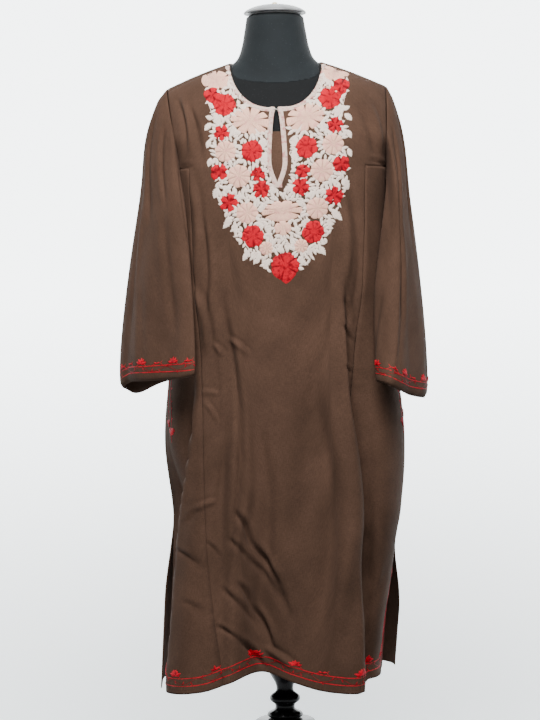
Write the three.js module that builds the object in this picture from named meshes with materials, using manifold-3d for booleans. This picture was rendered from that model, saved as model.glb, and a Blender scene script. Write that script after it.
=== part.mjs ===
// A pheran, the loose embroidered tunic of Kashmir, worn by a limbless tailor's dress form on a turned stand.
// Millimetres, +Z up. The origin is on the floor at the middle of the stand's base, and -Y is the front.
import * as THREE from 'three';
import Module from 'manifold-3d';

const wasm = await Module();
wasm.setup();

// Cloth and seams
const CLOTH = 1.8; // wall thickness
const SEAM = 0.34; // gap between two pieces that are sewn together
const HALF_SEAM = SEAM / 2;
const REST_GAP = 0.5; // between the cloth and the form that carries it

// Heights above the floor
const NECK_Z = 1400; // highest point of the garment, at the side of the neck
const NECK_HALF = 79; // half the width of the neck opening
const FRONT_NECK_Z = 1313; // lowest point of the front neckline
const BACK_NECK_Z = 1386;
const UNDERARM_Z = 1213;
const SLIT_END_Z = 1185; // foot of the neck slit
const HEM_Z = 331;
const SHOULDER_REACH_FRONT = 120; // drop over which the shoulder rounds into the chest
const SHOULDER_REACH_BACK = 100;
const CREST_Y = 3;
const SEAM_FORWARD_DROP = 8; // the shoulder seam lies this far below the crest, on the front

// The tunic's body, a row for each level: half widths of its left and right as seen from the front,
// depth of front and back from the axis, and where its side seams lie
const BODY = [
  { z: 1400, left: 188, right: 190, front: 92, back: 88, seamLeft: 0, seamRight: 0 },
  { z: 1345, left: 187, right: 190, front: 98, back: 92, seamLeft: 0, seamRight: 0 },
  { z: 1280, left: 178, right: 189, front: 112, back: 100, seamLeft: -14, seamRight: -8 },
  { z: 1213, left: 171, right: 187, front: 124, back: 106, seamLeft: -38, seamRight: -24 },
  { z: 1100, left: 174, right: 186, front: 131, back: 108, seamLeft: -12, seamRight: -6 },
  { z: 980, left: 180, right: 189, front: 134, back: 112, seamLeft: 0, seamRight: 2 },
  { z: 860, left: 194, right: 204, front: 136, back: 118, seamLeft: 4, seamRight: 6 },
  { z: 740, left: 203, right: 216, front: 139, back: 126, seamLeft: 2, seamRight: 10 },
  { z: 620, left: 190, right: 208, front: 143, back: 133, seamLeft: -8, seamRight: 16 },
  { z: 560, left: 192, right: 198, front: 146, back: 137, seamLeft: -18, seamRight: 24 },
  { z: 480, left: 198, right: 194, front: 149, back: 141, seamLeft: -34, seamRight: 40 },
  { z: 400, left: 202, right: 188, front: 152, back: 145, seamLeft: -52, seamRight: 58 },
  { z: 320, left: 206, right: 182, front: 154, back: 148, seamLeft: -64, seamRight: 72 },
];
const SQUARENESS = [
  { z: 1400, front: 2.2, back: 2.2 },
  { z: 1310, front: 2.2, back: 2.2 },
  { z: 1213, front: 2.3, back: 2.9 },
  { z: 1100, front: 2.3, back: 2.7 },
  { z: 740, front: 2.4, back: 2.4 },
  { z: 320, front: 2.9, back: 2.5 },
];
const ARMHOLE_CUT = 0.25; // share of each panel's turn round the side that the armhole takes away

// Folds, a row for each: where its line runs at the waist and at the hem, its half width, how far it stands
// out (or in, below zero), how far it leans to the right, and the heights where it starts and is full
const FRONT_FOLDS = [
  { high: -128, low: -172, width: 30, out: 8, lean: 0, start: 900, full: 520 },
  { high: -99, low: -112, width: 15, out: -11, lean: 0, start: 1060, full: 760 },
  { high: -72, low: -86, width: 22, out: 7, lean: 0, start: 1060, full: 700 },
  { high: -30, low: -42, width: 46, out: -52, lean: 0, start: 800, full: 320 },
  { high: 48, low: 30, width: 26, out: -13, lean: 0, start: 1120, full: 720 },
  { high: 96, low: 108, width: 30, out: 16, lean: 16, start: 1000, full: 480 },
  { high: 134, low: 146, width: 19, out: -34, lean: -14, start: 960, full: 460 },
];
const BACK_FOLDS = [
  { high: -120, low: -140, width: 26, out: 12, lean: 0, start: 1000, full: 560 },
  { high: -78, low: -88, width: 24, out: -16, lean: 0, start: 1060, full: 560 },
  { high: -30, low: -34, width: 28, out: 15, lean: 0, start: 1080, full: 540 },
  { high: 22, low: 20, width: 26, out: -18, lean: 0, start: 1080, full: 560 },
  { high: 74, low: 72, width: 26, out: 14, lean: 0, start: 1060, full: 560 },
  { high: 122, low: 124, width: 22, out: -12, lean: 0, start: 1000, full: 560 },
];
const FOLD_HIGH_Z = 900;
const ARCH = { x: -44, width: 62, rise: 24 }; // the front hem rises where its deepest fold draws it in
const HEM_DROP = [
  { x: -205, drop: 12 },
  { x: -150, drop: 8 },
  { x: 0, drop: 2 },
  { x: 120, drop: 10 },
  { x: 150, drop: 4 },
  { x: 205, drop: 0 },
];

// The neck slit: half its opening at each height
const SLIT = [
  { z: 1330, half: 1.2 },
  { z: 1312, half: 2.4 },
  { z: 1290, half: 5.6 },
  { z: 1262, half: 7.8 },
  { z: 1225, half: 9.6 },
  { z: 1208, half: 8.0 },
  { z: 1185, half: 0 },
];
const SLIT_SPREAD = 46; // the cloth beside the slit is drawn aside over this width

// The seam between the front panel and each side gore
const GORE_SEAM = [
  { z: 1213, x: 150 },
  { z: 1000, x: 142 },
  { z: 885, x: 134 },
  { z: 700, x: 131 },
  { z: 560, x: 128 },
  { z: 440, x: 119 },
  { z: 320, x: 106 },
];
const BACK_GORE_X = 0.8; // the back gore seam, as a share of the back's half width
const VENT = { leftTop: 619, rightTop: 567, frontIn: -9, backOut: 15, apart: 6 }; // where the side seams end and the vents begin

// Sleeves: each cuff is a flattened oval hanging at an angle beside the body
const SLEEVES = [
  {
    name: 'left', side: -1, cuffX: -211, cuffY: -86, cuffZ: 850, reach: 91, thick: 19,
    alongX: 0.712, alongY: -0.702, tilt: 15,
    bow: [
      { turn: 0, out: 21, y: 0 },
      { turn: 45, out: 15, y: -6 },
      { turn: 90, out: 4, y: -13 },
      { turn: 135, out: -6, y: -20 },
      { turn: 180, out: -9, y: -24 },
      { turn: 225, out: 10, y: -14 },
      { turn: 270, out: 10, y: 2 },
      { turn: 315, out: 16, y: 4 },
      { turn: 360, out: 21, y: 0 },
    ],
  },
  {
    name: 'right', side: 1, cuffX: 216, cuffY: -90, cuffZ: 838, reach: 84, thick: 26,
    alongX: -0.42, alongY: -0.907, tilt: 24,
    bow: [
      { turn: 0, out: 19, y: 0 },
      { turn: 45, out: 17, y: -4 },
      { turn: 90, out: 12, y: -9 },
      { turn: 135, out: 11, y: -14 },
      { turn: 180, out: 13, y: -16 },
      { turn: 225, out: 14, y: -10 },
      { turn: 270, out: 12, y: 0 },
      { turn: 315, out: 16, y: 3 },
      { turn: 360, out: 19, y: 0 },
    ],
  },
];
const BOW_POWER = 0.45; // the bow comes soon below the shoulder and lasts to near the cuff
const SLEEVE_RINGS = 11;
const SLEEVE_FOLDS = [
  { turn: 38, width: 16, out: -5, start: 0.35 },
  { turn: 75, width: 18, out: 4, start: 0.3 },
  { turn: 120, width: 18, out: -5, start: 0.45 },
  { turn: 235, width: 20, out: 4, start: 0.3 },
  { turn: 290, width: 22, out: -6, start: 0.3 },
];

// The form inside: half widths and depths at each height, up to where its shoulders begin
const FORM = [
  { z: 700, half: 138, front: 76, back: 88 },
  { z: 706, half: 150, front: 86, back: 98 },
  { z: 722, half: 160, front: 95, back: 107 },
  { z: 760, half: 167, front: 101, back: 112 },
  { z: 820, half: 167, front: 104, back: 112 },
  { z: 880, half: 156, front: 102, back: 103 },
  { z: 950, half: 134, front: 94, back: 88 },
  { z: 1010, half: 125, front: 90, back: 80 },
  { z: 1080, half: 136, front: 100, back: 84 },
  { z: 1150, half: 148, front: 113, back: 90 },
  { z: 1200, half: 155, front: 116, back: 93 },
  { z: 1250, half: 162, front: 110, back: 91 },
  { z: 1300, half: 169, front: 100, back: 87 },
  { z: 1335, half: 174, front: 93, back: 84 },
  { z: 1350, half: 173.5, front: 91, back: 82 },
  { z: 1358, half: 171.5, front: 90, back: 82 },
  { z: 1366, half: 166, front: 89, back: 81 },
  { z: 1398, half: 166, front: 86, back: 80 },
];
const FORM_LEVELS = [
  700, 706, 722, 770, 830, 890, 950, 1010, 1080, 1150, 1200, 1250, 1295, 1325, 1345,
  1356, 1363, 1370, 1377, 1384, 1390, 1394.5, 1397.6,
];
const FORM_POINTS = 32;
const FORM_DROP = CLOTH / 2 + REST_GAP; // the form's shoulders lie this far below the middle of the cloth
// The form's neck, a row for each ring: height at its sides, half widths, and its fall at front and back
const NECK_RINGS = [
  { z: 1372, half: 60, front: 46, back: 44, fallFront: 40, fallBack: 16 },
  { z: 1398.1, half: 79, front: 60, back: 56, fallFront: 36, fallBack: 14 },
  { z: 1400.6, half: 72.5, front: 56, back: 53, fallFront: 30, fallBack: 12 },
  { z: 1406, half: 67.5, front: 53.5, back: 51, fallFront: 25, fallBack: 10 },
  { z: 1417, half: 62.5, front: 51.5, back: 49.5, fallFront: 17, fallBack: 7 },
  { z: 1432, half: 58.5, front: 50, back: 48.5, fallFront: 9, fallBack: 3 },
  { z: 1452, half: 55, front: 49, back: 48, fallFront: 3, fallBack: 1 },
  { z: 1470, half: 52, front: 48.5, back: 48, fallFront: 0, fallBack: 0 },
  { z: 1481.5, half: 50.5, front: 48, back: 48, fallFront: 0, fallBack: 0 },
];
const NECK_Y = -5;
const NECK_POINTS = 32;

// Turned pieces, as profiles of radius and height
const CAP = [
  [0, 1481.8], [47, 1481.8], [47, 1484], [53.4, 1484.4], [54.2, 1485.4], [53.4, 1487.4],
  [49, 1490.6], [41, 1494.4], [30, 1497.6], [17, 1499.6], [5.3, 1500.3], [0, 1500.3],
];
const KNOB = [[0, 1500.6], [4.6, 1500.6], [5, 1501.4], [4.6, 1503.2], [3, 1504.6], [0, 1505]];
const POLE = [
  [0, 34.3], [52, 34.3], [54, 40], [48, 52], [34, 66], [25, 95], [22, 140], [22, 210], [31, 230],
  [48, 237], [54, 245], [48, 251], [22, 253.5], [29, 255.5], [31.5, 259], [28, 264], [18, 269],
  [18, 277], [25, 283], [27, 288], [25, 293], [15.5, 301], [16, 312], [24, 327], [31, 341],
  [28, 354], [19, 380], [17, 402], [17, 699.6], [0, 699.6],
];
const BASE = [
  [0, 0], [170, 0], [176, 3], [178, 9], [175, 16], [166, 21], [140, 25], [100, 28], [62, 31], [56, 34], [0, 34],
];

// Grid of the body's walls
const NECK_SHARES = [0.28, 0.54, 0.76, 0.9, 1]; // columns on each side of the middle, as shares of the neck's half
const NECK_COLUMNS = NECK_SHARES.length;
const SHOULDER_COLUMNS = 6;
const GORE_COLUMNS = 4;
const GORE_U = 0.7; // where the gore begins, as a share of the columns' run
const CREST_ROWS = 2; // the back's first rows lie before the crest
const ARMHOLE_ROWS = 12;
const SKIRT_ROWS = 16;

const clamp = (v, low, high) => Math.min(high, Math.max(low, v));
const lerp = (a, b, t) => a + (b - a) * t;
const smooth = (t) => {
  const c = clamp(t, 0, 1);
  return c * c * (3 - 2 * c);
};
const bell = (t) => Math.exp(-t * t);

// The value of a table's column at a place along its first column, on a smooth curve through the rows.
function along(table, at, key, axis = 'z') {
  const rising = table[0][axis] < table[table.length - 1][axis];
  const rows = rising ? table : [...table].reverse();
  const last = rows.length - 1;
  if (at <= rows[0][axis]) return rows[0][key];
  if (at >= rows[last][axis]) return rows[last][key];
  let i = 0;
  while (rows[i + 1][axis] < at) i += 1;
  const slope = (k) => {
    const a = rows[Math.max(0, k - 1)];
    const b = rows[Math.min(last, k + 1)];
    return (b[key] - a[key]) / (b[axis] - a[axis]);
  };
  const [a, b] = [rows[i], rows[i + 1]];
  const span = b[axis] - a[axis];
  const t = (at - a[axis]) / span;
  const [t2, t3] = [t * t, t * t * t];
  return (2 * t3 - 3 * t2 + 1) * a[key] + (t3 - 2 * t2 + t) * span * slope(i)
    + (3 * t2 - 2 * t3) * b[key] + (t3 - t2) * span * slope(i + 1);
}

// Height of the shoulder's crest above a point this far from the middle.
function crest(x) {
  const out = Math.max(0, Math.abs(x) - NECK_HALF);
  return NECK_Z - 0.3 * out - 0.0008 * out * out;
}

// Share of the full depth that the shoulder's round has reached at height z.
function shoulderRound(x, z, reach) {
  const t = clamp((crest(x) - z) / reach, 0, 1);
  return Math.sqrt(1 - (1 - t) * (1 - t));
}

function foldPush(folds, x, z, hem) {
  let [out, side] = [0, 0];
  for (const fold of folds) {
    const centre = lerp(fold.high, fold.low, clamp((FOLD_HIGH_Z - z) / (FOLD_HIGH_Z - hem), -0.5, 1));
    const share = bell((x - centre) / fold.width) * smooth((fold.start - z) / (fold.start - fold.full));
    out += fold.out * share;
    side += fold.lean * share;
  }
  return { out, side };
}

// Where s runs from -1 at one side seam to 1 at the other.
function ringPoint(s, z, face) {
  const side = s < 0 ? 'Left' : 'Right';
  const half = along(BODY, z, s < 0 ? 'left' : 'right');
  const depth = along(BODY, z, face);
  const seam = along(BODY, z, `seam${side}`);
  const power = 2 / along(SQUARENESS, z, face);
  const edge = ((1 - ARMHOLE_CUT * smooth((z - UNDERARM_Z) / 60)) * Math.PI) / 2;
  const angle = Math.abs(s) * edge;
  const across = (Math.sin(angle) / Math.sin(edge)) ** power;
  const round = Math.max(0, Math.cos(angle)) ** power;
  const facing = face === 'front' ? -1 : 1;
  const x = Math.sign(s) * half * across;
  const y = seam + (facing * depth - seam) * round;
  return { x, y, across, round };
}

function frontPoint(s, z) {
  const ring = ringPoint(s, z, 'front');
  const push = foldPush(FRONT_FOLDS, ring.x, z, HEM_Z);
  const y = CREST_Y + (ring.y - CREST_Y) * shoulderRound(ring.x, z, SHOULDER_REACH_FRONT);
  const outX = Math.sign(s) * ring.across * 0.5;
  const edge = 1 - Math.abs(s) ** 8;
  return new THREE.Vector3(
    ring.x + (push.side + push.out * outX) * edge,
    y - push.out * Math.max(0.35, ring.round) * edge,
    z,
  );
}

function backPoint(s, z) {
  const ring = ringPoint(s, z, 'back');
  const push = foldPush(BACK_FOLDS, ring.x, z, HEM_Z);
  const y = CREST_Y + (ring.y - CREST_Y) * shoulderRound(ring.x, z, SHOULDER_REACH_BACK);
  const edge = 1 - Math.abs(s) ** 8;
  return new THREE.Vector3(ring.x, y + push.out * Math.max(0.35, ring.round) * edge, z);
}

// s of the point this far from the middle, on the ring at height z.
function seamS(x, z, face, side) {
  const half = along(BODY, z, side < 0 ? 'left' : 'right');
  const power = 2 / along(SQUARENESS, z, face);
  return Math.asin(clamp(x / half, 0, 1) ** (1 / power)) / (Math.PI / 2);
}

// Columns keep to the gore seam: u up to GORE_U is the middle panel, and beyond it the gore.
function columnS(u, z, face) {
  const side = Math.sign(u) || 1;
  const level = Math.min(z, UNDERARM_Z);
  const half = along(BODY, level, side < 0 ? 'left' : 'right');
  const frontX = along(GORE_SEAM, level, 'x');
  const backX = lerp(BACK_GORE_X * half, frontX, smooth((z - UNDERARM_Z) / 100));
  const alike = smooth((z - UNDERARM_Z) / 100);
  const edge = face === 'front'
    ? seamS(frontX, level, 'front', side)
    : lerp(seamS(backX, level, 'back', side), seamS(frontX, level, 'front', side), alike);
  const a = Math.abs(u);
  return side * (a <= GORE_U ? (a / GORE_U) * edge : lerp(edge, 1, (a - GORE_U) / (1 - GORE_U)));
}

function neckHeight(x, low) {
  const t = clamp(Math.abs(x) / NECK_HALF, 0, 1);
  return low + (NECK_Z - low) * (1 - Math.sqrt(1 - t ** 2.6));
}

function hemHeight(x) {
  return HEM_Z - along(HEM_DROP, x, 'drop', 'x') + ARCH.rise * bell((x - ARCH.x) / ARCH.width);
}

// The slit halves are drawn aside near the middle.
function openSlit(point, side, z) {
  const half = along(SLIT, z, 'half') * side;
  point.x += half * bell(point.x / SLIT_SPREAD);
  return point;
}

// Neck corners fall on a column, so the shoulder seams begin there.
function neckColumn(side) {
  let [low, high] = [0, GORE_U];
  for (let i = 0; i < 40; i += 1) {
    const u = (low + high) / 2;
    const x = ringPoint(columnS(side * u, NECK_Z, 'front'), NECK_Z, 'front').x;
    if (Math.abs(x) < NECK_HALF) low = u;
    else high = u;
  }
  return (low + high) / 2;
}

function halfColumns(side) {
  const corner = neckColumn(side);
  const us = [];
  for (const share of NECK_SHARES) us.push(corner * share);
  for (let i = 1; i <= SHOULDER_COLUMNS; i += 1) us.push(lerp(corner, GORE_U, i / SHOULDER_COLUMNS));
  for (let i = 1; i <= GORE_COLUMNS; i += 1) us.push(lerp(GORE_U, 1, i / GORE_COLUMNS));
  return us.map((u) => side * u);
}

// Heights of the rows of one column, from its top down to its foot.
function rowHeights(face, x, foot) {
  const low = face === 'front' ? FRONT_NECK_Z : BACK_NECK_Z;
  const inNeck = Math.abs(x) < NECK_HALF - 0.5;
  const top = inNeck ? neckHeight(x, low) : crest(x);
  const drop = inNeck ? 0 : SEAM_FORWARD_DROP;
  const heights = [];
  const lead = face === 'back' ? CREST_ROWS : 0;
  for (let i = 0; i < lead; i += 1) heights.push({ z: top - drop * (1 - i / lead), forward: true });
  const start = face === 'front' ? top - drop : top;
  for (let i = 0; i <= ARMHOLE_ROWS - lead; i += 1) {
    const t = i / (ARMHOLE_ROWS - lead);
    const eased = inNeck ? t : lerp(1 - Math.cos((t * Math.PI) / 2), t, face === 'front' ? 0.5 : 0.1);
    heights.push({ z: lerp(start, UNDERARM_Z, eased) });
  }
  heights.push({ z: SLIT_END_Z });
  for (let i = 1; i <= SKIRT_ROWS; i += 1) heights.push({ z: lerp(SLIT_END_Z, foot, i / SKIRT_ROWS) });
  return heights;
}

function bodyColumn(face, u, slit) {
  const point = face === 'front' ? frontPoint : backPoint;
  const x = ringPoint(columnS(u, NECK_Z, 'front'), NECK_Z, 'front').x;
  const foot = face === 'front' || Math.abs(u) > 0.999
    ? hemHeight(point(columnS(u, HEM_Z, face), HEM_Z).x)
    : HEM_Z + 6 * (1 - u * u);
  return rowHeights(face, x, foot).map(({ z, forward }) => {
    const made = (forward ? frontPoint : point)(columnS(u, z, forward ? 'front' : face), z);
    return slit && z > SLIT_END_Z ? openSlit(made, slit, z) : made;
  });
}

// Beyond each vent's top the front's edge turns in and the back's swings out behind it.
function openVents(columns, face) {
  const end = columns.length - 1;
  for (const side of [-1, 1]) {
    const top = side < 0 ? VENT.leftTop : VENT.rightTop;
    for (let k = 0; k < GORE_COLUMNS; k += 1) {
      const share = (1 - k / GORE_COLUMNS) ** 1.5;
      for (const p of columns[side < 0 ? k : end - k]) {
        const open = smooth((top - p.z) / 140) * share;
        const shift = face === 'front' ? VENT.frontIn : VENT.backOut;
        p.x += side * shift * open * (side > 0 ? 1 : 0.5);
        p.y += open * (face === 'front' ? -VENT.apart : VENT.apart);
      }
    }
  }
}

// The whole body is one set of points. Front and back share those of the shoulder and side seams.
const points = [];
const place = (columns) => columns.map((column) => column.map((p) => points.push(p) - 1));
const left = halfColumns(-1);
const right = halfColumns(1);
const frontColumns = [
  ...left.map((u) => bodyColumn('front', u, -1)).reverse(),
  bodyColumn('front', -1e-9, -1),
  bodyColumn('front', 1e-9, 1),
  ...right.map((u) => bodyColumn('front', u, 1)),
];
const backColumns = [...[...left].reverse(), 1e-9, ...right].map((u) => bodyColumn('back', u));
openVents(frontColumns, 'front');
openVents(backColumns, 'back');
const front = place(frontColumns);
const back = place(backColumns);
const middle = left.length;
const slitRow = ARMHOLE_ROWS + 1;
const rowCount = front[0].length;
for (let r = slitRow; r < rowCount; r += 1) front[middle + 1][r] = front[middle][r];
const frontOf = (c) => (c > middle ? c + 1 : c);
const backEnd = back.length - 1;
back.forEach((column, c) => {
  if (Math.abs(c - middle) >= NECK_COLUMNS) column[0] = front[frontOf(c)][0];
});
for (const [c, top] of [[0, VENT.leftTop], [backEnd, VENT.rightTop]]) {
  for (let r = ARMHOLE_ROWS; r < rowCount; r += 1) {
    if (points[front[frontOf(c)][r]].z > top - 4) back[c][r] = front[frontOf(c)][r];
  }
}

function quadsOf(columns, keep, flip) {
  const quads = [];
  for (let c = 0; c < columns.length - 1; c += 1) {
    for (let r = 0; r < rowCount - 1; r += 1) {
      const quad = [columns[c][r], columns[c][r + 1], columns[c + 1][r + 1], columns[c + 1][r]];
      if (keep(c, r)) quads.push(flip ? quad.reverse() : quad);
    }
  }
  return quads;
}
const goreAt = (c, end, side) => (side < 0 ? c < GORE_COLUMNS : c >= end - GORE_COLUMNS);
const inGore = (c, r, end) => r >= ARMHOLE_ROWS && (goreAt(c, end, -1) || goreAt(c, end, 1));
const inNeckHole = (c) => c >= middle - NECK_COLUMNS && c < middle + NECK_COLUMNS;
const frontEnd = front.length - 1;
const BODY_PIECES = {
  front_panel: quadsOf(front, (c, r) => c !== middle && !inGore(c, r, frontEnd), false),
  back_panel: quadsOf(back, (c, r) => !inGore(c, r, backEnd) && !(r < CREST_ROWS && inNeckHole(c)), true),
};
for (const [name, side] of [['left', -1], ['right', 1]]) {
  const lower = (r) => r >= ARMHOLE_ROWS;
  BODY_PIECES[`front_gore_${name}`] = quadsOf(front, (c, r) => lower(r) && goreAt(c, frontEnd, side), false);
  BODY_PIECES[`back_gore_${name}`] = quadsOf(back, (c, r) => lower(r) && goreAt(c, backEnd, side), true);
}

function normalsOf(spots, quads) {
  const normals = spots.map(() => new THREE.Vector3());
  for (const [a, b, c, d] of quads) {
    const normal = spots[c].clone().sub(spots[a]).cross(spots[d].clone().sub(spots[b]));
    for (const k of [a, b, c, d]) normals[k].add(normal);
  }
  return normals.map((normal) => normal.normalize());
}

// A closed wall on a sheet's quads: both faces and the edge all round, which is drawn in by inset.
function wall(spots, normals, quads, thickness, inset) {
  const used = new Map();
  const local = [];
  const faces = quads.map((quad) => quad.map((index) => {
    if (!used.has(index)) used.set(index, local.push(index) - 1);
    return used.get(index);
  }));
  const moved = local.map((index) => spots[index].clone());
  const edges = new Map();
  for (const [a, b, c, d] of faces) {
    const normal = moved[c].clone().sub(moved[a]).cross(moved[d].clone().sub(moved[b]));
    for (const [i, j] of [[a, b], [b, c], [c, d], [d, a]]) edges.set(`${i},${j}`, { i, j, normal });
  }
  const rim = [...edges.values()].filter(({ i, j }) => !edges.has(`${j},${i}`));
  const pulls = moved.map(() => []);
  for (const { i, j, normal } of rim) {
    const inward = normal.clone().cross(moved[j].clone().sub(moved[i])).normalize();
    pulls[i].push(inward);
    pulls[j].push(inward);
  }
  pulls.forEach((pull, k) => {
    if (pull.length < 2) return;
    const share = inset / Math.max(0.5, 1 + pull[0].dot(pull[1]));
    moved[k].addScaledVector(pull[0], share).addScaledVector(pull[1], share);
  });
  const position = [];
  for (const side of [0.5, -0.5]) {
    moved.forEach((spot, k) => {
      const p = spot.clone().addScaledVector(normals[local[k]], side * thickness);
      position.push(p.x, p.y, p.z);
    });
  }
  const n = moved.length;
  const index = [];
  for (const face of faces) {
    // Each quad is split along its shorter diagonal.
    const [p, q, r, s] = face.map((k) => moved[k]);
    const [a, b, c, d] = p.distanceTo(r) <= q.distanceTo(s) ? face : [...face.slice(1), face[0]];
    index.push(a, b, c, a, c, d, n + a, n + c, n + b, n + a, n + d, n + c);
  }
  for (const { i, j } of rim) index.push(i, n + i, n + j, i, n + j, j);
  const geometry = new THREE.BufferGeometry();
  geometry.setAttribute('position', new THREE.Float32BufferAttribute(position, 3));
  geometry.setIndex(index);
  return geometry;
}

function solid(geometry) {
  return new wasm.Manifold(new wasm.Mesh({
    numProp: 3,
    vertProperties: new Float32Array(geometry.attributes.position.array),
    triVerts: new Uint32Array(geometry.index.array),
  }));
}

function geometryOf(body) {
  const made = body.getMesh();
  const geometry = new THREE.BufferGeometry();
  geometry.setAttribute('position', new THREE.Float32BufferAttribute(made.vertProperties, 3));
  geometry.setIndex([...made.triVerts]);
  return geometry;
}

const MATERIALS = {
  cloth: new THREE.MeshStandardMaterial({ color: 0x4b362a, roughness: 0.9, metalness: 0 }),
  form: new THREE.MeshStandardMaterial({ color: 0x24282b, roughness: 0.75, metalness: 0 }),
  lacquer: new THREE.MeshStandardMaterial({ color: 0x0b0b0b, roughness: 0.25, metalness: 0 }),
  cap: new THREE.MeshStandardMaterial({ color: 0x7b7d80, roughness: 0.35, metalness: 0.6 }),
  knob: new THREE.MeshStandardMaterial({ color: 0xcdb27c, roughness: 0.4, metalness: 0.3 }),
  hook: new THREE.MeshStandardMaterial({ color: 0xb9b4bd, roughness: 0.35, metalness: 0.8 }),
};

const pheran = new THREE.Group();

function addPiece(name, geometry, material) {
  const mesh = new THREE.Mesh(geometry, MATERIALS[material]);
  mesh.name = name;
  pheran.add(mesh);
  return mesh;
}

const bodyNormals = normalsOf(points, Object.values(BODY_PIECES).flat());
const keepOut = { left: [], right: [] };
for (const [name, quads] of Object.entries(BODY_PIECES)) {
  const piece = wall(points, bodyNormals, quads, CLOTH, HALF_SEAM);
  const grown = solid(wall(points, bodyNormals, quads, CLOTH + 2 * SEAM, -HALF_SEAM));
  addPiece(name, piece, 'cloth');
  keepOut.left.push(grown, solid(piece).translate([-SEAM, 0, 0]));
  keepOut.right.push(grown, solid(piece).translate([SEAM, 0, 0]));
}

// The armhole's edge, from the shoulder seam down its front, and up its back, with each point's turn in degrees.
function armhole(side) {
  const frontEdge = front[side < 0 ? 0 : frontEnd].slice(0, ARMHOLE_ROWS + 1).map((k) => points[k]);
  const backEdge = back[side < 0 ? 0 : backEnd].slice(1, ARMHOLE_ROWS).map((k) => points[k]);
  const loop = [...frontEdge, ...backEdge.reverse()];
  const lengths = loop.map((p, i) => p.distanceTo(loop[(i + 1) % loop.length]));
  const sum = (list) => list.reduce((a, b) => a + b, 0);
  const frontLength = sum(lengths.slice(0, ARMHOLE_ROWS));
  const backLength = sum(lengths.slice(ARMHOLE_ROWS));
  const turns = loop.map((p, i) => (i <= ARMHOLE_ROWS
    ? (180 * sum(lengths.slice(0, i))) / frontLength
    : 180 + (180 * sum(lengths.slice(ARMHOLE_ROWS, i))) / backLength));
  return { loop, turns };
}

function cuffPoint(spec, turn) {
  const angle = (turn * Math.PI) / 180;
  const inner = -Math.cos(angle); // -1 at the sleeve's outer fold, 1 at its inner one
  const across = Math.sin(angle);
  return new THREE.Vector3(
    spec.cuffX + spec.reach * spec.alongX * inner - spec.thick * spec.side * spec.alongY * across,
    spec.cuffY + spec.reach * spec.alongY * inner + spec.thick * spec.side * spec.alongX * across,
    spec.cuffZ + spec.tilt * inner,
  );
}

function sleeveSheet(spec) {
  const { loop, turns } = armhole(spec.side);
  const sheet = [];
  for (let k = 0; k <= SLEEVE_RINGS; k += 1) {
    const t = k / SLEEVE_RINGS;
    const bow = (4 * t * (1 - t)) ** BOW_POWER;
    loop.forEach((start, i) => {
      const turn = turns[i];
      const p = start.clone().lerp(cuffPoint(spec, turn), t);
      p.x += spec.side * bow * along(spec.bow, turn, 'out', 'turn');
      p.y += bow * along(spec.bow, turn, 'y', 'turn');
      const angle = (turn * Math.PI) / 180;
      const outward = new THREE.Vector3(
        -spec.alongX * Math.cos(angle) - spec.side * spec.alongY * Math.sin(angle),
        -spec.alongY * Math.cos(angle) + spec.side * spec.alongX * Math.sin(angle),
        0,
      );
      for (const fold of SLEEVE_FOLDS) {
        const share = bell((turn - fold.turn) / fold.width) * smooth((t - fold.start) / 0.4);
        p.addScaledVector(outward, fold.out * share);
      }
      sheet.push(p);
    });
  }
  return { sheet, count: loop.length };
}

function sleeveQuads(count, side) {
  const quads = [];
  for (let k = 0; k < SLEEVE_RINGS; k += 1) {
    for (let i = 0; i < count; i += 1) {
      const j = (i + 1) % count;
      const quad = [k * count + i, k * count + j, (k + 1) * count + j, (k + 1) * count + i];
      quads.push(side < 0 ? quad : quad.reverse());
    }
  }
  return quads;
}

// A sleeve ends where the body's seam allowance begins.
for (const spec of SLEEVES) {
  const { sheet, count } = sleeveSheet(spec);
  const quads = sleeveQuads(count, spec.side);
  let sleeve = solid(wall(sheet, normalsOf(sheet, quads), quads, CLOTH, HALF_SEAM));
  for (const piece of keepOut[spec.name]) sleeve = sleeve.subtract(piece);
  const [largest] = sleeve.decompose().sort((a, b) => b.volume() - a.volume());
  addPiece(`sleeve_${spec.name}`, geometryOf(largest), 'cloth');
}

// The placket's underlay lies behind the neck slit.
const UNDERLAY = { top: 1272, bottom: 1176, half: 24, rows: 8, columns: 6, behind: CLOTH + 0.7 };
const underlayGrid = [];
for (let c = 0; c <= UNDERLAY.columns; c += 1) {
  for (let r = 0; r <= UNDERLAY.rows; r += 1) {
    const z = lerp(UNDERLAY.top, UNDERLAY.bottom, r / UNDERLAY.rows);
    const x = lerp(-UNDERLAY.half, UNDERLAY.half, c / UNDERLAY.columns) * (r === UNDERLAY.rows ? 0.8 : 1);
    const spot = frontPoint(Math.sign(x || 1) * seamS(Math.abs(x), z, 'front', Math.sign(x || 1)), z);
    spot.y += UNDERLAY.behind;
    underlayGrid.push(spot);
  }
}
const underlayQuads = [];
for (let c = 0; c < UNDERLAY.columns; c += 1) {
  for (let r = 0; r < UNDERLAY.rows; r += 1) {
    const at = (i, j) => i * (UNDERLAY.rows + 1) + j;
    underlayQuads.push([at(c, r), at(c, r + 1), at(c + 1, r + 1), at(c + 1, r)]);
  }
}
const underlayNormals = normalsOf(underlayGrid, underlayQuads);
addPiece('placket_underlay', wall(underlayGrid, underlayNormals, underlayQuads, 1.4, 0), 'cloth');

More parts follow.
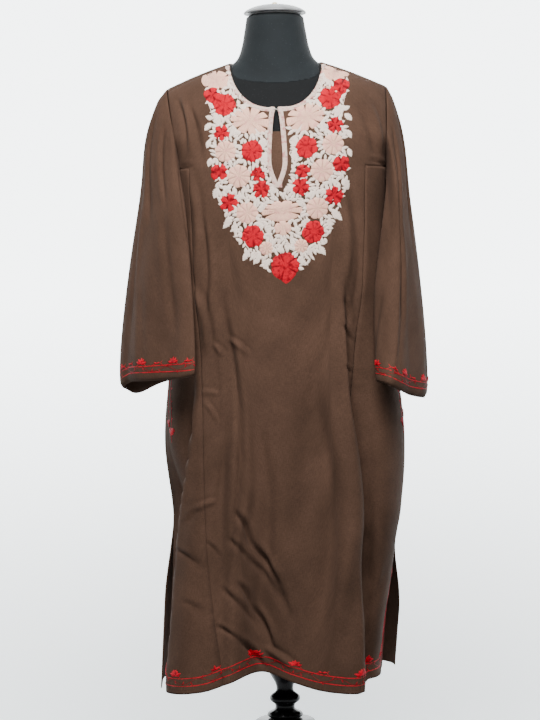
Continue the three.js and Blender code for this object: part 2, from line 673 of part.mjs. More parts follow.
// A closed loft through rings with the same number of points each, capped flat at both ends.
function loft(rings) {
  const n = rings[0].length;
  const position = rings.flat().flatMap((p) => [p.x, p.y, p.z]);
  const index = [];
  for (let k = 0; k < rings.length - 1; k += 1) {
    for (let i = 0; i < n; i += 1) {
      const j = (i + 1) % n;
      index.push(k * n + i, k * n + j, (k + 1) * n + j, k * n + i, (k + 1) * n + j, (k + 1) * n + i);
    }
  }
  for (const [ring, first] of [[rings[0], 0], [rings[rings.length - 1], (rings.length - 1) * n]]) {
    const centre = position.length / 3;
    const middlePoint = ring.reduce((sum, p) => sum.add(p), new THREE.Vector3()).divideScalar(n);
    position.push(middlePoint.x, middlePoint.y, middlePoint.z);
    for (let i = 0; i < n; i += 1) {
      const j = (i + 1) % n;
      if (first === 0) index.push(centre, first + j, first + i);
      else index.push(centre, first + i, first + j);
    }
  }
  const geometry = new THREE.BufferGeometry();
  geometry.setAttribute('position', new THREE.Float32BufferAttribute(position, 3));
  geometry.setIndex(index);
  return geometry;
}

function formRing(z) {
  const ring = [];
  const fall = Math.max(0, NECK_Z - FORM_DROP - z);
  const shoulder = NECK_HALF + (Math.sqrt(0.09 + 0.0032 * fall) - 0.3) / 0.0016;
  const half = Math.min(shoulder, along(FORM, z, 'half'));
  for (let i = 0; i < FORM_POINTS; i += 1) {
    const angle = (2 * Math.PI * i) / FORM_POINTS;
    const x = half * Math.sign(Math.cos(angle)) * Math.abs(Math.cos(angle)) ** 0.88;
    const deep = Math.abs(Math.sin(angle)) ** 0.88;
    const isFront = Math.sin(angle) < 0;
    const depth = isFront ? -along(FORM, z, 'front') : along(FORM, z, 'back');
    const reach = isFront ? SHOULDER_REACH_FRONT : SHOULDER_REACH_BACK;
    const round = shoulderRound(x, z + FORM_DROP, reach);
    ring.push(new THREE.Vector3(x, CREST_Y + (depth * deep - CREST_Y * deep) * round, z));
  }
  return ring;
}

function neckRing(row) {
  const ring = [];
  for (let i = 0; i < NECK_POINTS; i += 1) {
    const angle = (2 * Math.PI * i) / NECK_POINTS;
    const sine = Math.sin(angle);
    const deep = sine < 0 ? row.front : row.back;
    const fall = sine < 0 ? row.fallFront : row.fallBack;
    ring.push(new THREE.Vector3(row.half * Math.cos(angle), NECK_Y + deep * sine, row.z - fall * sine * sine));
  }
  return ring;
}

let form = solid(loft(FORM_LEVELS.map(formRing))).add(solid(loft(NECK_RINGS.map(neckRing))));
for (const name of ['front_panel', 'back_panel']) {
  const room = wall(points, bodyNormals, BODY_PIECES[name], CLOTH + 2 * REST_GAP, -HALF_SEAM);
  form = form.subtract(solid(room));
}
const [formBody] = form.decompose().sort((a, b) => b.volume() - a.volume());
addPiece('form_torso', geometryOf(formBody), 'form');

function turned(profile, segments) {
  const geometry = new THREE.LatheGeometry(profile.map(([r, z]) => new THREE.Vector2(r, z)), segments);
  geometry.rotateX(Math.PI / 2);
  return geometry;
}
addPiece('neck_cap', turned(CAP, 32), 'cap').position.set(0, NECK_Y, 0);
addPiece('cap_knob', turned(KNOB, 16), 'knob').position.set(0, NECK_Y, 0);
addPiece('stand_pole', turned(POLE, 24), 'lacquer');
addPiece('stand_base', turned(BASE, 36), 'lacquer');

// A small wire hook holds the top of the slit.
const hookSpot = frontPoint(0.02, FRONT_NECK_Z - 8);
const hookPath = new THREE.CatmullRomCurve3([
  new THREE.Vector3(-5.5, 0.2, 1.2),
  new THREE.Vector3(-2, -0.5, 2),
  new THREE.Vector3(2, -0.5, 1.4),
  new THREE.Vector3(4.6, -0.2, -0.4),
  new THREE.Vector3(2.6, -0.1, -2.2),
]);
const wire = new THREE.Shape().absarc(0, 0, 0.55, 0, Math.PI * 2);
const hook = new THREE.ExtrudeGeometry(wire, { steps: 14, curveSegments: 4, extrudePath: hookPath });
addPiece('neck_hook', hook, 'hook').position.set(0, hookSpot.y - CLOTH / 2 - 0.1, FRONT_NECK_Z - 4);

export default pheran;
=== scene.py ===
import math

import bmesh
import bpy
import numpy as np
from bpy.props import FloatProperty, FloatVectorProperty, IntProperty, PointerProperty
from mathutils import Matrix, Vector
from mathutils.bvhtree import BVHTree


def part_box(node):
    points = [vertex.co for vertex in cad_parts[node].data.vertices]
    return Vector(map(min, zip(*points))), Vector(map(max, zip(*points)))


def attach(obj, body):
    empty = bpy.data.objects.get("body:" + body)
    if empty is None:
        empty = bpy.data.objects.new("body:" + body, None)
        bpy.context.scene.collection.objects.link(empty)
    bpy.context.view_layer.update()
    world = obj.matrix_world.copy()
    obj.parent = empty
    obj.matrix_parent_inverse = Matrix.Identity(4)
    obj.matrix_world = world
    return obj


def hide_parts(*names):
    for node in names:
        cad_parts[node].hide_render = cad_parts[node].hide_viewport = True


bl_info = {
    "name": "Embroidered pheran",
    "version": (1, 0, 0),
    "blender": (4, 5, 0),
    "location": "View3D > Sidebar > Pheran",
    "description": "A wool pheran with worked yoke and borders on a black dress form",
    "category": "Object",
}

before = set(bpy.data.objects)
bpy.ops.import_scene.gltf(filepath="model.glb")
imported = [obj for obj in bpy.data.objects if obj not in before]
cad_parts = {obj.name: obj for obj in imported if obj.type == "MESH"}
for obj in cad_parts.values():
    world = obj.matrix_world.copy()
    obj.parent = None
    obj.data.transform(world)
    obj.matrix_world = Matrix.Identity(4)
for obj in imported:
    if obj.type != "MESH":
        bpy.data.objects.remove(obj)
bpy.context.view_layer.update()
MM = 0.001


def color_property(name, description, default):
    """A colour that a user may change, in linear light."""
    return FloatVectorProperty(
        name=name, description=description, default=default, subtype="COLOR", size=3,
        min=0, max=1, precision=4,
    )


class PHERAN_PG_cloth(bpy.types.PropertyGroup):
    """The wool that the tunic is cut from"""

    wall: FloatProperty(
        name="Wall", description="Thickness of the wool", default=0.0018, unit="LENGTH",
        min=0.001, max=0.003, precision=4,
    )
    creases: FloatProperty(
        name="Creases", description="Depth of the pressed and worn creases", default=1.0, subtype="FACTOR",
        min=0, max=2,
    )
    light: color_property("Light wool", "Wool where the dye is thin", (0.058, 0.0312, 0.0205))
    dark: color_property("Dark wool", "Wool where the dye is full", (0.0375, 0.0202, 0.013))
    sheen: FloatProperty(
        name="Nap", description="Sheen of the wool's short nap", default=0.02, min=0, max=1, subtype="FACTOR"
    )


class PHERAN_PG_stitching(bpy.types.PropertyGroup):
    """The threads of the yoke, the neck band and the borders"""

    height: FloatProperty(
        name="Height", description="How far the stitching stands off the cloth", default=0.0015,
        unit="LENGTH", min=0.0005, max=0.003, precision=4,
    )
    spacing: FloatProperty(
        name="Leaf spacing", description="Distance between the small leaves", default=0.005, unit="LENGTH",
        min=0.004, max=0.02, precision=4,
    )
    seed: IntProperty(name="Seed", description="Chance arrangement of the small leaves", default=11, min=0)
    red: color_property("Red", "Thread of the roses, blossoms and borders", (0.6, 0.0004, 0.016))
    cream: color_property("Cream", "Thread of the peonies and fans", (0.98, 0.57, 0.41))
    pale: color_property("Pale", "Thread of the leaves", (0.98, 0.81, 0.69))
    band: color_property("Band", "Thread of the neck band", (0.8, 0.6, 0.5))


class PHERAN_PG_form(bpy.types.PropertyGroup):
    """The dress form's cover, and the finishes of its cap and stand"""

    neck: color_property("Neck", "Cover of the form's neck", (0.0078, 0.0104, 0.0118))
    chest: color_property("Chest", "Cover of the form below the neck seam", (0.002, 0.0026, 0.003))
    lacquer: color_property("Lacquer", "Pole and base", (0.003, 0.003, 0.003))
    cap: color_property("Cap", "Metal of the neck cap", (0.18, 0.18, 0.182))
    knob: color_property("Knob", "Brass of the cap's knob", (0.72, 0.6, 0.38))


class PHERAN_PG_studio(bpy.types.PropertyGroup):
    """The lights round the object"""

    key: FloatProperty(
        name="Key", description="Power of the main light", default=146, unit="POWER", min=0
    )
    fill: FloatProperty(
        name="Fill", description="Power of the light on the right", default=18, unit="POWER", min=0
    )
    air: FloatProperty(
        name="Air", description="Strength of the even light", default=0.09, subtype="FACTOR", min=0
    )
    wall: FloatProperty(name="Wall", description="Glow of the wall behind", default=4.3, min=0)


GROUPS = {
    "cloth": PHERAN_PG_cloth,
    "stitching": PHERAN_PG_stitching,
    "form": PHERAN_PG_form,
    "studio": PHERAN_PG_studio,
}


def settings(name):
    """One group of the sizes and colours that a user may change."""
    return getattr(bpy.context.scene, f"pheran_{name}")


def shaded(color, share):
    """This share of a colour's light."""
    return tuple(part * share for part in color)


def table(columns, *rows):
    """Rows of numbers under named columns, sorted by the first column."""
    values = np.array(sorted(rows), float).T
    return dict(zip(columns.split(), values))


def curve_between(t, start, slope_start, end, slope_end):
    """A cubic curve from start to end, which leaves and arrives at these slopes."""
    return (
        (2 * t**3 - 3 * t**2 + 1) * start
        + (t**3 - 2 * t**2 + t) * slope_start
        + (3 * t**2 - 2 * t**3) * end
        + (t**3 - t**2) * slope_end
    )


def along(rows, at, key):
    """A column's value at a place along the first column, on a smooth curve through the rows."""
    knots = next(iter(rows.values()))
    values = rows[key]
    last = len(knots) - 1
    at = np.clip(at, knots[0], knots[last])
    i = np.clip(np.searchsorted(knots, at, side="right") - 1, 0, last - 1)
    before = np.maximum(np.arange(last + 1) - 1, 0)
    after = np.minimum(np.arange(last + 1) + 1, last)
    slopes = (values[after] - values[before]) / (knots[after] - knots[before])
    span = knots[i + 1] - knots[i]
    t = (at - knots[i]) / span
    return curve_between(t, values[i], span * slopes[i], values[i + 1], span * slopes[i + 1])


def smooth(t):
    """Goes softly from 0 to 1 as t does."""
    t = np.clip(t, 0, 1)
    return t * t * (3 - 2 * t)


def bell(t):
    """1 at the middle and close to 0 beyond about 2 on either side."""
    return np.exp(-t * t)


def mix(a, b, t):
    """The value that lies this share of the way from a to b."""
    return a + (b - a) * t


# The cut and hang of the tunic, as in its solids: heights first, then half the neck's width
NECK_TOP = 1400
FRONT_NECK = 1313
BACK_NECK = 1386
UNDERARM = 1213
SLIT_FOOT = 1185
HEM = 331
NECK_HALF = 79
# How round the neckline's curve is
NECK_POWER = 2.6
# The shoulders' crest: how far forward it lies, how steeply it falls, and how that grows outwards
CREST_Y = 3
CREST_FALL = 0.3
CREST_GROWTH = 0.0008
# The shoulder seam lies this far below the crest, on the front
SEAM_DROP = 8
# Share of each panel's turn round the side that the armhole takes away, and the height over which it does
ARMHOLE_CUT = 0.25
ARMHOLE_GROW = 60
# Drop over which the shoulder rounds into the chest and the back
REACH = {"front": 120, "back": 100}

# How far the cloth reaches from the pole at each height, and where its side seams lie
BODY = table(
    "z left right front back seam_left seam_right",
    (1400, 188, 190, 92, 88, 0, 0),
    (1345, 187, 190, 98, 92, 0, 0),
    (1280, 178, 189, 112, 100, -14, -8),
    (1213, 171, 187, 124, 106, -38, -24),
    (1100, 174, 186, 131, 108, -12, -6),
    (980, 180, 189, 134, 112, 0, 2),
    (860, 194, 204, 136, 118, 4, 6),
    (740, 203, 216, 139, 126, 2, 10),
    (620, 190, 208, 143, 133, -8, 16),
    (560, 192, 198, 146, 137, -18, 24),
    (480, 198, 194, 149, 141, -34, 40),
    (400, 202, 188, 152, 145, -52, 58),
    (320, 206, 182, 154, 148, -64, 72),
)
# How square each level ring is, where 2 is an ellipse
SQUARENESS = table(
    "z front back",
    (1400, 2.2, 2.2),
    (1310, 2.2, 2.2),
    (1213, 2.3, 2.9),
    (1100, 2.3, 2.7),
    (740, 2.4, 2.4),
    (320, 2.9, 2.5),
)
# Hanging folds: x high up and at the hem, half width, how far out, how far aside, and the heights where each
# starts and is full
FRONT_FOLDS = (
    (-128, -172, 30, 8, 0, 900, 520),
    (-99, -112, 15, -11, 0, 1060, 760),
    (-72, -86, 22, 7, 0, 1060, 700),
    (-30, -42, 46, -52, 0, 800, 320),
    (48, 30, 26, -13, 0, 1120, 720),
    (96, 108, 30, 16, 16, 1000, 480),
    (134, 146, 19, -34, -14, 960, 460),
)
BACK_FOLDS = (
    (-120, -140, 26, 12, 0, 1000, 560),
    (-78, -88, 24, -16, 0, 1060, 560),
    (-30, -34, 28, 15, 0, 1080, 540),
    (22, 20, 26, -18, 0, 1080, 560),
    (74, 72, 26, 14, 0, 1060, 560),
    (122, 124, 22, -12, 0, 1000, 560),
)
FOLD_HIGH = 900
# The front hem rises where its deepest fold draws it in
ARCH = {"x": -44, "width": 62, "rise": 24}
HEM_DROP = table(
    "x drop", (-205, 12), (-150, 8), (0, 2), (120, 10), (150, 4), (205, 0)
)
# Half the width of the neck slit, and how far from it the cloth is drawn aside
SLIT = table(
    "z half",
    (1330, 1.2),
    (1312, 2.4),
    (1290, 5.6),
    (1262, 7.8),
    (1225, 9.6),
    (1208, 8.0),
    (1185, 0),
)
SLIT_SPREAD = 46
# The seam between front and gore
GORE_SEAM = table(
    "z x",
    (1213, 150),
    (1000, 142),
    (885, 134),
    (700, 131),
    (560, 128),
    (440, 119),
    (320, 106),
)
# The back's gore seam, as a share of the back's half width
BACK_GORE_X = 0.8
# The tops of the vents, how far their edges turn in and swing out, how far they part, and over what height
VENT = {"left": 619, "right": 567, "front_in": -9, "back_out": 15, "apart": 6, "reach": 140}
# Where the gores begin, as a share of the columns' run from the middle to the side
GORE_U = 0.7


def crest(x):
    """Height of the shoulder's crest above a point this far from the middle."""
    out = np.maximum(0, np.abs(x) - NECK_HALF)
    return NECK_TOP - CREST_FALL * out - CREST_GROWTH * out * out


def fold_push(folds, x, z):
    """How far the hanging folds move the cloth out and aside."""
    out = np.zeros_like(x)
    side = np.zeros_like(x)
    for high, low, width, depth, lean, start, full in folds:
        centre = mix(high, low, np.clip((FOLD_HIGH - z) / (FOLD_HIGH - HEM), -0.5, 1))
        share = bell((x - centre) / width) * smooth((start - z) / (start - full))
        out += depth * share
        side += lean * share
    return out, side


def half_width(s, z):
    return np.where(s < 0, along(BODY, z, "left"), along(BODY, z, "right"))


def ring_point(s, z, face):
    """A point of the level ring at height z, where s runs from one side seam to the other."""
    depth = along(BODY, z, face)
    seam = np.where(s < 0, along(BODY, z, "seam_left"), along(BODY, z, "seam_right"))
    power = 2 / along(SQUARENESS, z, face)
    edge = (1 - ARMHOLE_CUT * smooth((z - UNDERARM) / ARMHOLE_GROW)) * math.pi / 2
    angle = np.abs(s) * edge
    across = (np.sin(angle) / np.sin(edge)) ** power
    turn = np.maximum(0, np.cos(angle)) ** power
    facing = -1 if face == "front" else 1
    x = np.sign(s) * half_width(s, z) * across
    y = seam + (facing * depth - seam) * turn
    return x, y, across, turn


def body_point(s, z, face):
    """A point of the cloth with its shoulders' rounding and its hanging folds."""
    x, y, across, turn = ring_point(s, z, face)
    t = np.clip((crest(x) - z) / REACH[face], 0, 1)
    y = CREST_Y + (y - CREST_Y) * np.sqrt(1 - (1 - t) ** 2)
    folds = FRONT_FOLDS if face == "front" else BACK_FOLDS
    out, side = fold_push(folds, x, z)
    edge = 1 - np.abs(s) ** 8
    facing = -1 if face == "front" else 1
    if face == "front":
        x = x + (side + out * np.sign(s) * across * 0.5) * edge
    y = y + facing * out * np.maximum(0.35, turn) * edge
    return np.stack([x, y, z * np.ones_like(x)], -1)


def seam_s(x, z, face, side):
    """The place along the ring, from 0 at the middle to 1 at the side seam, that lies at x."""
    half = along(BODY, z, "left" if side < 0 else "right")
    power = 2 / along(SQUARENESS, z, face)
    return np.arcsin(np.clip(x / half, 0, 1) ** (1 / power)) / (math.pi / 2)


def column_s(u, z, face):
    """Columns keep to the gore seam: beyond GORE_U they belong to the gore."""
    side = -1 if u < 0 else 1
    below = np.minimum(z, UNDERARM)
    half = along(BODY, below, "left" if side < 0 else "right")
    edge = seam_s(along(GORE_SEAM, below, "x"), below, "front", side)
    if face == "back":
        alike = smooth((z - UNDERARM) / REACH["back"])
        x = mix(BACK_GORE_X * half, along(GORE_SEAM, below, "x"), alike)
        edge = mix(seam_s(x, below, "back", side), edge, alike)
    a = abs(u)
    if a <= GORE_U:
        return side * a / GORE_U * edge
    return side * mix(edge, 1, (a - GORE_U) / (1 - GORE_U))


def level(z):
    """One height as an array, which the tables' curves take."""
    return np.array(z, float)


def top_x(u):
    """How far from the middle a column starts, at the top of the shoulders."""
    s = column_s(u, level(NECK_TOP), "front")
    return float(ring_point(s, level(NECK_TOP), "front")[0])


def neck_height(x, low):
    """The neckline's height at x, where low is its height at the middle."""
    t = min(1, abs(x) / NECK_HALF)
    return low + (NECK_TOP - low) * (1 - math.sqrt(1 - t**NECK_POWER))


def hem_height(x):
    """The front hem's height, with the rise of its arch."""
    rise = ARCH["rise"] * bell((x - ARCH["x"]) / ARCH["width"])
    return float(HEM - along(HEM_DROP, x, "drop") + rise)


def row_heights(face, x, foot):
    """Heights of one column's rows, and how many of the first lie before the shoulder's crest."""
    in_neck = abs(x) < NECK_HALF - 0.5
    low = FRONT_NECK if face == "front" else BACK_NECK
    top = neck_height(x, low) if in_neck else float(crest(x))
    drop = 0 if in_neck else SEAM_DROP
    lead = LEAD_ROWS if face == "back" else 0
    heights = [top - drop * (1 - i / lead) for i in range(lead)]
    start = top - drop if face == "front" else top
    count = ARM_ROWS - lead
    for i in range(count + 1):
        t = i / count
        ease = 0.5 if face == "front" else 0.1
        eased = t if in_neck else mix(1 - math.cos(t * math.pi / 2), t, ease)
        heights.append(mix(start, UNDERARM, eased))
    heights += [mix(UNDERARM, SLIT_FOOT, (i + 1) / SLIT_ROWS) for i in range(SLIT_ROWS)]
    heights += [mix(SLIT_FOOT, foot, (i + 1) / SKIRT_ROWS) for i in range(SKIRT_ROWS)]
    return np.array(heights), lead


# How much higher the back's hem is at its middle than at its sides
BACK_RISE = 6
# Fine rows and columns of the body's cloth
LEAD_ROWS = 4
ARM_ROWS = 44
SLIT_ROWS = 6
SKIRT_ROWS = 230
NECK_FINE = 26
PANEL_FINE = 26
GORE_FINE = 16


def neck_corner(side):
    """The column's place that starts where the neckline meets the shoulder seam."""
    low, high = 0, GORE_U
    for _ in range(40):
        u = (low + high) / 2
        if abs(top_x(side * u)) < NECK_HALF:
            low = u
        else:
            high = u
    return (low + high) / 2


def fine_columns(side):
    """The places of one half's columns, from beside the middle to the side seam."""
    corner = neck_corner(side)
    neck = [corner * (1 - (1 - i / NECK_FINE) ** 1.4) for i in range(1, NECK_FINE + 1)]
    panel = [mix(corner, GORE_U, i / PANEL_FINE) for i in range(1, PANEL_FINE + 1)]
    gore = [mix(GORE_U, 1, i / GORE_FINE) for i in range(1, GORE_FINE + 1)]
    return [side * u for u in neck + panel + gore]


def body_column(face, u, slit=0):
    """One column of points down the cloth, drawn aside beside the neck slit where slit is -1 or 1."""
    x = top_x(u)
    if face == "front" or abs(u) > 0.999:
        guess = body_point(column_s(u, level(HEM), face), level(HEM), face)
        foot = hem_height(guess[0])
    else:
        foot = HEM + BACK_RISE * (1 - u * u)
    heights, lead = row_heights(face, x, foot)
    points = body_point(column_s(u, heights, face), heights, face)
    if lead:
        before = heights[:lead]
        points[:lead] = body_point(column_s(u, before, "front"), before, "front")
    if slit:
        opened = slit * along(SLIT, heights, "half") * bell(points[:, 0] / SLIT_SPREAD)
        points[:, 0] += np.where(heights > SLIT_FOOT, opened, 0)
    return points


def open_vents(points, face):
    """Beyond each vent's top the front's edge turns in and the back's swings out behind it."""
    count = points.shape[1]
    for side, top in ((-1, VENT["left"]), (1, VENT["right"])):
        for k in range(GORE_FINE):
            column = points[:, k if side < 0 else count - 1 - k]
            share = (1 - k / GORE_FINE) ** 1.5
            opened = smooth((top - column[:, 2]) / VENT["reach"]) * share
            shift = VENT["front_in"] if face == "front" else VENT["back_out"]
            column[:, 0] += side * shift * opened * (1 if side > 0 else 0.5)
            apart = -VENT["apart"] if face == "front" else VENT["apart"]
            column[:, 1] += opened * apart


class Sheet:
    """A grid of points on the cloth's middle: rows run down it, columns across it from left to right."""

    def __init__(self, points, outward, closed=False, joined=None):
        self.points = points
        self.outward = outward
        self.closed = closed
        self.joined = joined
        self.rows, self.columns = points.shape[:2]
        self.measure()

    def measure(self):
        """Works out how far each point lies down and across the cloth, and which way the cloth faces."""
        steps = np.linalg.norm(np.diff(self.points, axis=0), axis=2)
        self.down = np.vstack([np.zeros((1, self.columns)), np.cumsum(steps, axis=0)])
        steps = np.linalg.norm(np.diff(self.points, axis=1), axis=2)
        self.across = np.hstack([np.zeros((self.rows, 1)), np.cumsum(steps, axis=1)])
        self.normals = self.normal_of(self.points)

    def normal_of(self, points):
        down = np.gradient(points, axis=0)
        across = np.gradient(points, axis=1)
        if self.closed:
            across[:, 0] = across[:, -1] = points[:, 1] - points[:, -2]
        normal = np.cross(down, across) * self.outward
        normal /= np.maximum(1e-9, np.linalg.norm(normal, axis=2, keepdims=True))
        if self.joined:
            row, column = self.joined
            both = normal[row:, column] + normal[row:, column + 1]
            both /= np.linalg.norm(both, axis=1, keepdims=True)
            normal[row:, column] = normal[row:, column + 1] = both
        return normal

    def push(self, amount):
        """Moves the cloth out along its own face by amount, a number for each point."""
        self.points = self.points + self.normals * amount[..., None]
        self.measure()

    def at(self, row, column):
        """The point and the outward normal at a place between rows and columns."""
        row = min(max(row, 0), self.rows - 1.001)
        column = min(max(column, 0), self.columns - 1.001)
        i, j = int(row), int(column)
        a, b = row - i, column - j
        corners = (
            (i, j, (1 - a) * (1 - b)), (i + 1, j, a * (1 - b)),
            (i, j + 1, (1 - a) * b), (i + 1, j + 1, a * b),
        )
        point = sum(self.points[r, c] * w for r, c, w in corners)
        normal = sum(self.normals[r, c] * w for r, c, w in corners)
        return point, normal / np.linalg.norm(normal)


# Creases pressed and worn into the cloth: from and to as x and z on that face, half width, and depth, which
# is below zero for a trough. A ridge stands along one side of each trough, and the other way round.
FRONT_CREASES = (
    (-81, 632, -52, 571, 7.0, -7.0),
    (-58, 582, 12, 446, 7.0, -8.0),
    (-94, 584, -62, 552, 6.0, -4.0),
    (-68, 558, 2, 460, 8.0, -4.6),
    (-78, 512, -53, 463, 6.0, -5.0),
    (-56, 470, -20, 394, 6.5, -7.0),
    (-106, 500, -44, 427, 7.0, -4.2),
    (-118, 437, -74, 410, 5.0, -3.6),
    (-78, 414, -42, 364, 6.5, -5.6),
    (-62, 400, -34, 360, 5.0, -3.4),
    (-34, 394, 20, 361, 6.0, 5.0),
    (-182, 563, -131, 529, 5.0, -4.4),
    (-170, 479, -127, 452, 5.0, -3.8),
    (-160, 608, -144, 634, 5.0, -3.2),
    (-147, 633, -114, 648, 5.0, 4.2),
    (-132, 580, -108, 553, 5.0, -3.2),
    (-88, 923, -53, 894, 5.5, 4.0),
    (-136, 832, -104, 829, 5.0, 3.0),
    (-128, 815, -108, 781, 4.5, 3.4),
    (-113, 914, -96, 893, 5.0, 3.6),
    (104, 943, 129, 912, 5.0, -5.0),
    (108, 872, 130, 861, 4.5, -5.0),
    (113, 836, 130, 834, 4.5, -3.0),
    (146, 856, 128, 813, 5.0, -3.0),
    (174, 534, 141, 448, 6.0, 5.0),
    (110, 988, 121, 945, 6.0, -4.6),
    (-170, 1336, -155, 1250, 6.0, -5.0),
    (-160, 1330, -146, 1236, 6.0, 4.0),
    (-152, 1322, -128, 1226, 7.0, -2.6),
    (-163, 1217, -141, 1214, 4.0, -3.4),
    (-150, 1205, -146, 1010, 8.0, 4.0),
    (-146, 1010, -124, 900, 8.0, 4.6),
    (-136, 1150, -134, 930, 7.0, -3.4),
    (158, 1222, 188, 1215, 4.0, -3.4),
    (142, 1316, 168, 1226, 8.0, -3.6),
    (160, 1322, 178, 1240, 6.0, 2.8),
    (106, 1180, 110, 1000, 9.0, 3.4),
    (124, 1180, 126, 960, 8.0, -3.6),
    (60, 1090, 66, 880, 12.0, 2.4),
    (-70, 1080, -74, 860, 11.0, 2.4),
    (-60, 760, -64, 610, 9.0, 2.6),
    (30, 1000, 34, 780, 14.0, 2.4),
    (54, 850, 50, 400, 24.0, -13.0),
    (-42, 800, -46, 460, 14.0, -5.0),
    (103, 1010, 88, 440, 20.0, 7.0),
    (-95, 980, -98, 520, 9.0, -6.0),
    (-117, 1000, -120, 640, 10.0, 3.6),
)
BACK_CREASES = (
    (-150, 1300, -168, 1236, 10.0, -5.0),
    (-126, 1316, -158, 1226, 9.0, -3.6),
    (148, 1306, 172, 1232, 10.0, -5.0),
    (124, 1318, 160, 1230, 8.0, -3.4),
    (-40, 1150, -48, 820, 15.0, -5.0),
    (38, 1160, 30, 840, 15.0, 4.0),
    (86, 1100, 92, 760, 14.0, -5.0),
    (-92, 1080, -98, 740, 14.0, 4.0),
    (-10, 690, 2, 560, 14.0, -5.0),
    (4, 1010, -4, 800, 16.0, 2.4),
    (-70, 640, -20, 540, 8.0, -6.0),
    (-20, 540, 20, 462, 8.0, -4.6),
    (-84, 560, -40, 470, 7.0, -4.0),
    (96, 600, 44, 500, 8.0, -5.6),
    (44, 500, 10, 430, 7.0, -4.0),
    (104, 470, 60, 404, 6.0, 4.2),
    (-110, 460, -60, 398, 6.0, -5.0),
    (-30, 372, 40, 360, 5.0, -3.4),
    (-150, 860, -120, 836, 5.0, -4.0),
    (130, 876, 160, 858, 5.0, -4.0),
    (-136, 700, -112, 676, 5.0, -3.4),
)
# Where the front's flat middle ends and the cloth turns back to the sides: a line of x for each height, how
# far the cloth lies back beyond it and over what reach, and the heights where that starts and is full
FRONT_TURNS = (
    {
        "side": -1, "back": 26, "reach": 36, "start": 900, "full": 760,
        "line": table(
            "z x",
            (300, -203), (360, -198), (465, -188), (605, -176), (692, -163), (779, -150), (900, -136),
        ),
    },
    {
        "side": 1, "back": 26, "reach": 30, "start": 1060, "full": 820,
        "line": table(
            "z x",
            (300, 137), (407, 135), (530, 131), (635, 126), (740, 119), (845, 111), (1060, 104),
        ),
    },
)


# The edge of such a turn: how far it stands out, half its width, and how soon the cloth is back beyond it
TURN_EDGE = {"out": 3.0, "half": 7, "soon": 9}


def turn_push(turns, x, z):
    """The sharp edges of the largest folds."""
    push = np.zeros_like(x)
    soon = TURN_EDGE["soon"]
    for turn in turns:
        beyond = (x - along(turn["line"], z, "x")) * turn["side"]
        grow = smooth((turn["start"] - z) / (turn["start"] - turn["full"]))
        back = smooth(beyond / soon) * bell(np.maximum(0, beyond - soon) / turn["reach"])
        push += grow * (TURN_EDGE["out"] * bell(beyond / TURN_EDGE["half"]) - turn["back"] * back)
    return push


def crease_shape(aside, width):
    """Across a crease: its own trough or ridge, with half as high a rise or dip along one side."""
    across = aside / (0.8 * width)
    return bell(across) - 0.5 * bell(across + 1.6)


def crease_fade(t):
    """Along a crease: it dies away at both ends."""
    return smooth((t + 0.12) / 0.4) * smooth((1.12 - t) / 0.4)


def crease_push(creases, x, z):
    """How far the creases push the cloth out, each on a slightly bowed line."""
    push = np.zeros_like(x)
    for x0, z0, x1, z1, width, depth in creases:
        run = math.hypot(x1 - x0, z1 - z0)
        dx, dz = (x1 - x0) / run, (z1 - z0) / run
        t = ((x - x0) * dx + (z - z0) * dz) / run
        aside = (x - x0) * dz - (z - z0) * dx
        aside = aside + 0.06 * run * np.sin(np.clip(t, 0, 1) * math.pi)
        push += depth * crease_shape(aside, width) * crease_fade(t)
    return push


def ripple(x, z, size, seed):
    """A soft unevenness of the cloth, from sines that never line up."""
    total = np.zeros_like(x)
    for k in range(4):
        a = 2.4 * (k + 1) + seed
        kx, kz = math.cos(a * 1.7) / size, math.sin(a * 1.3) / (size * 2.4)
        total += np.sin(x * kx * (1 + 0.31 * k) + z * kz * (1 + 0.23 * k) + a * 3.1)
    return total / 4


# How deep the sewn lines draw the cloth in, and over what width
SEAM_DIP = {"deep": 0.5, "half": 1.8}


def seam_dip(sheet, columns):
    """The cloth is drawn in a little along each sewn column."""
    dip = np.zeros((sheet.rows, sheet.columns))
    for column in columns:
        at = sheet.across[:, column : column + 1]
        dip -= SEAM_DIP["deep"] * bell((sheet.across - at) / SEAM_DIP["half"])
    return dip


# The cloth's unevenness: depth, size, and the height below which it grows, over how much
RIPPLES = ((0.9, 26, 1240, 200), (0.5, 11, 1180, 300))
# How far from each edge creases die away, and what share of them is left at the hem
CALM = {"top": 14, "side": 18, "foot": 30, "hem_share": 0.4}


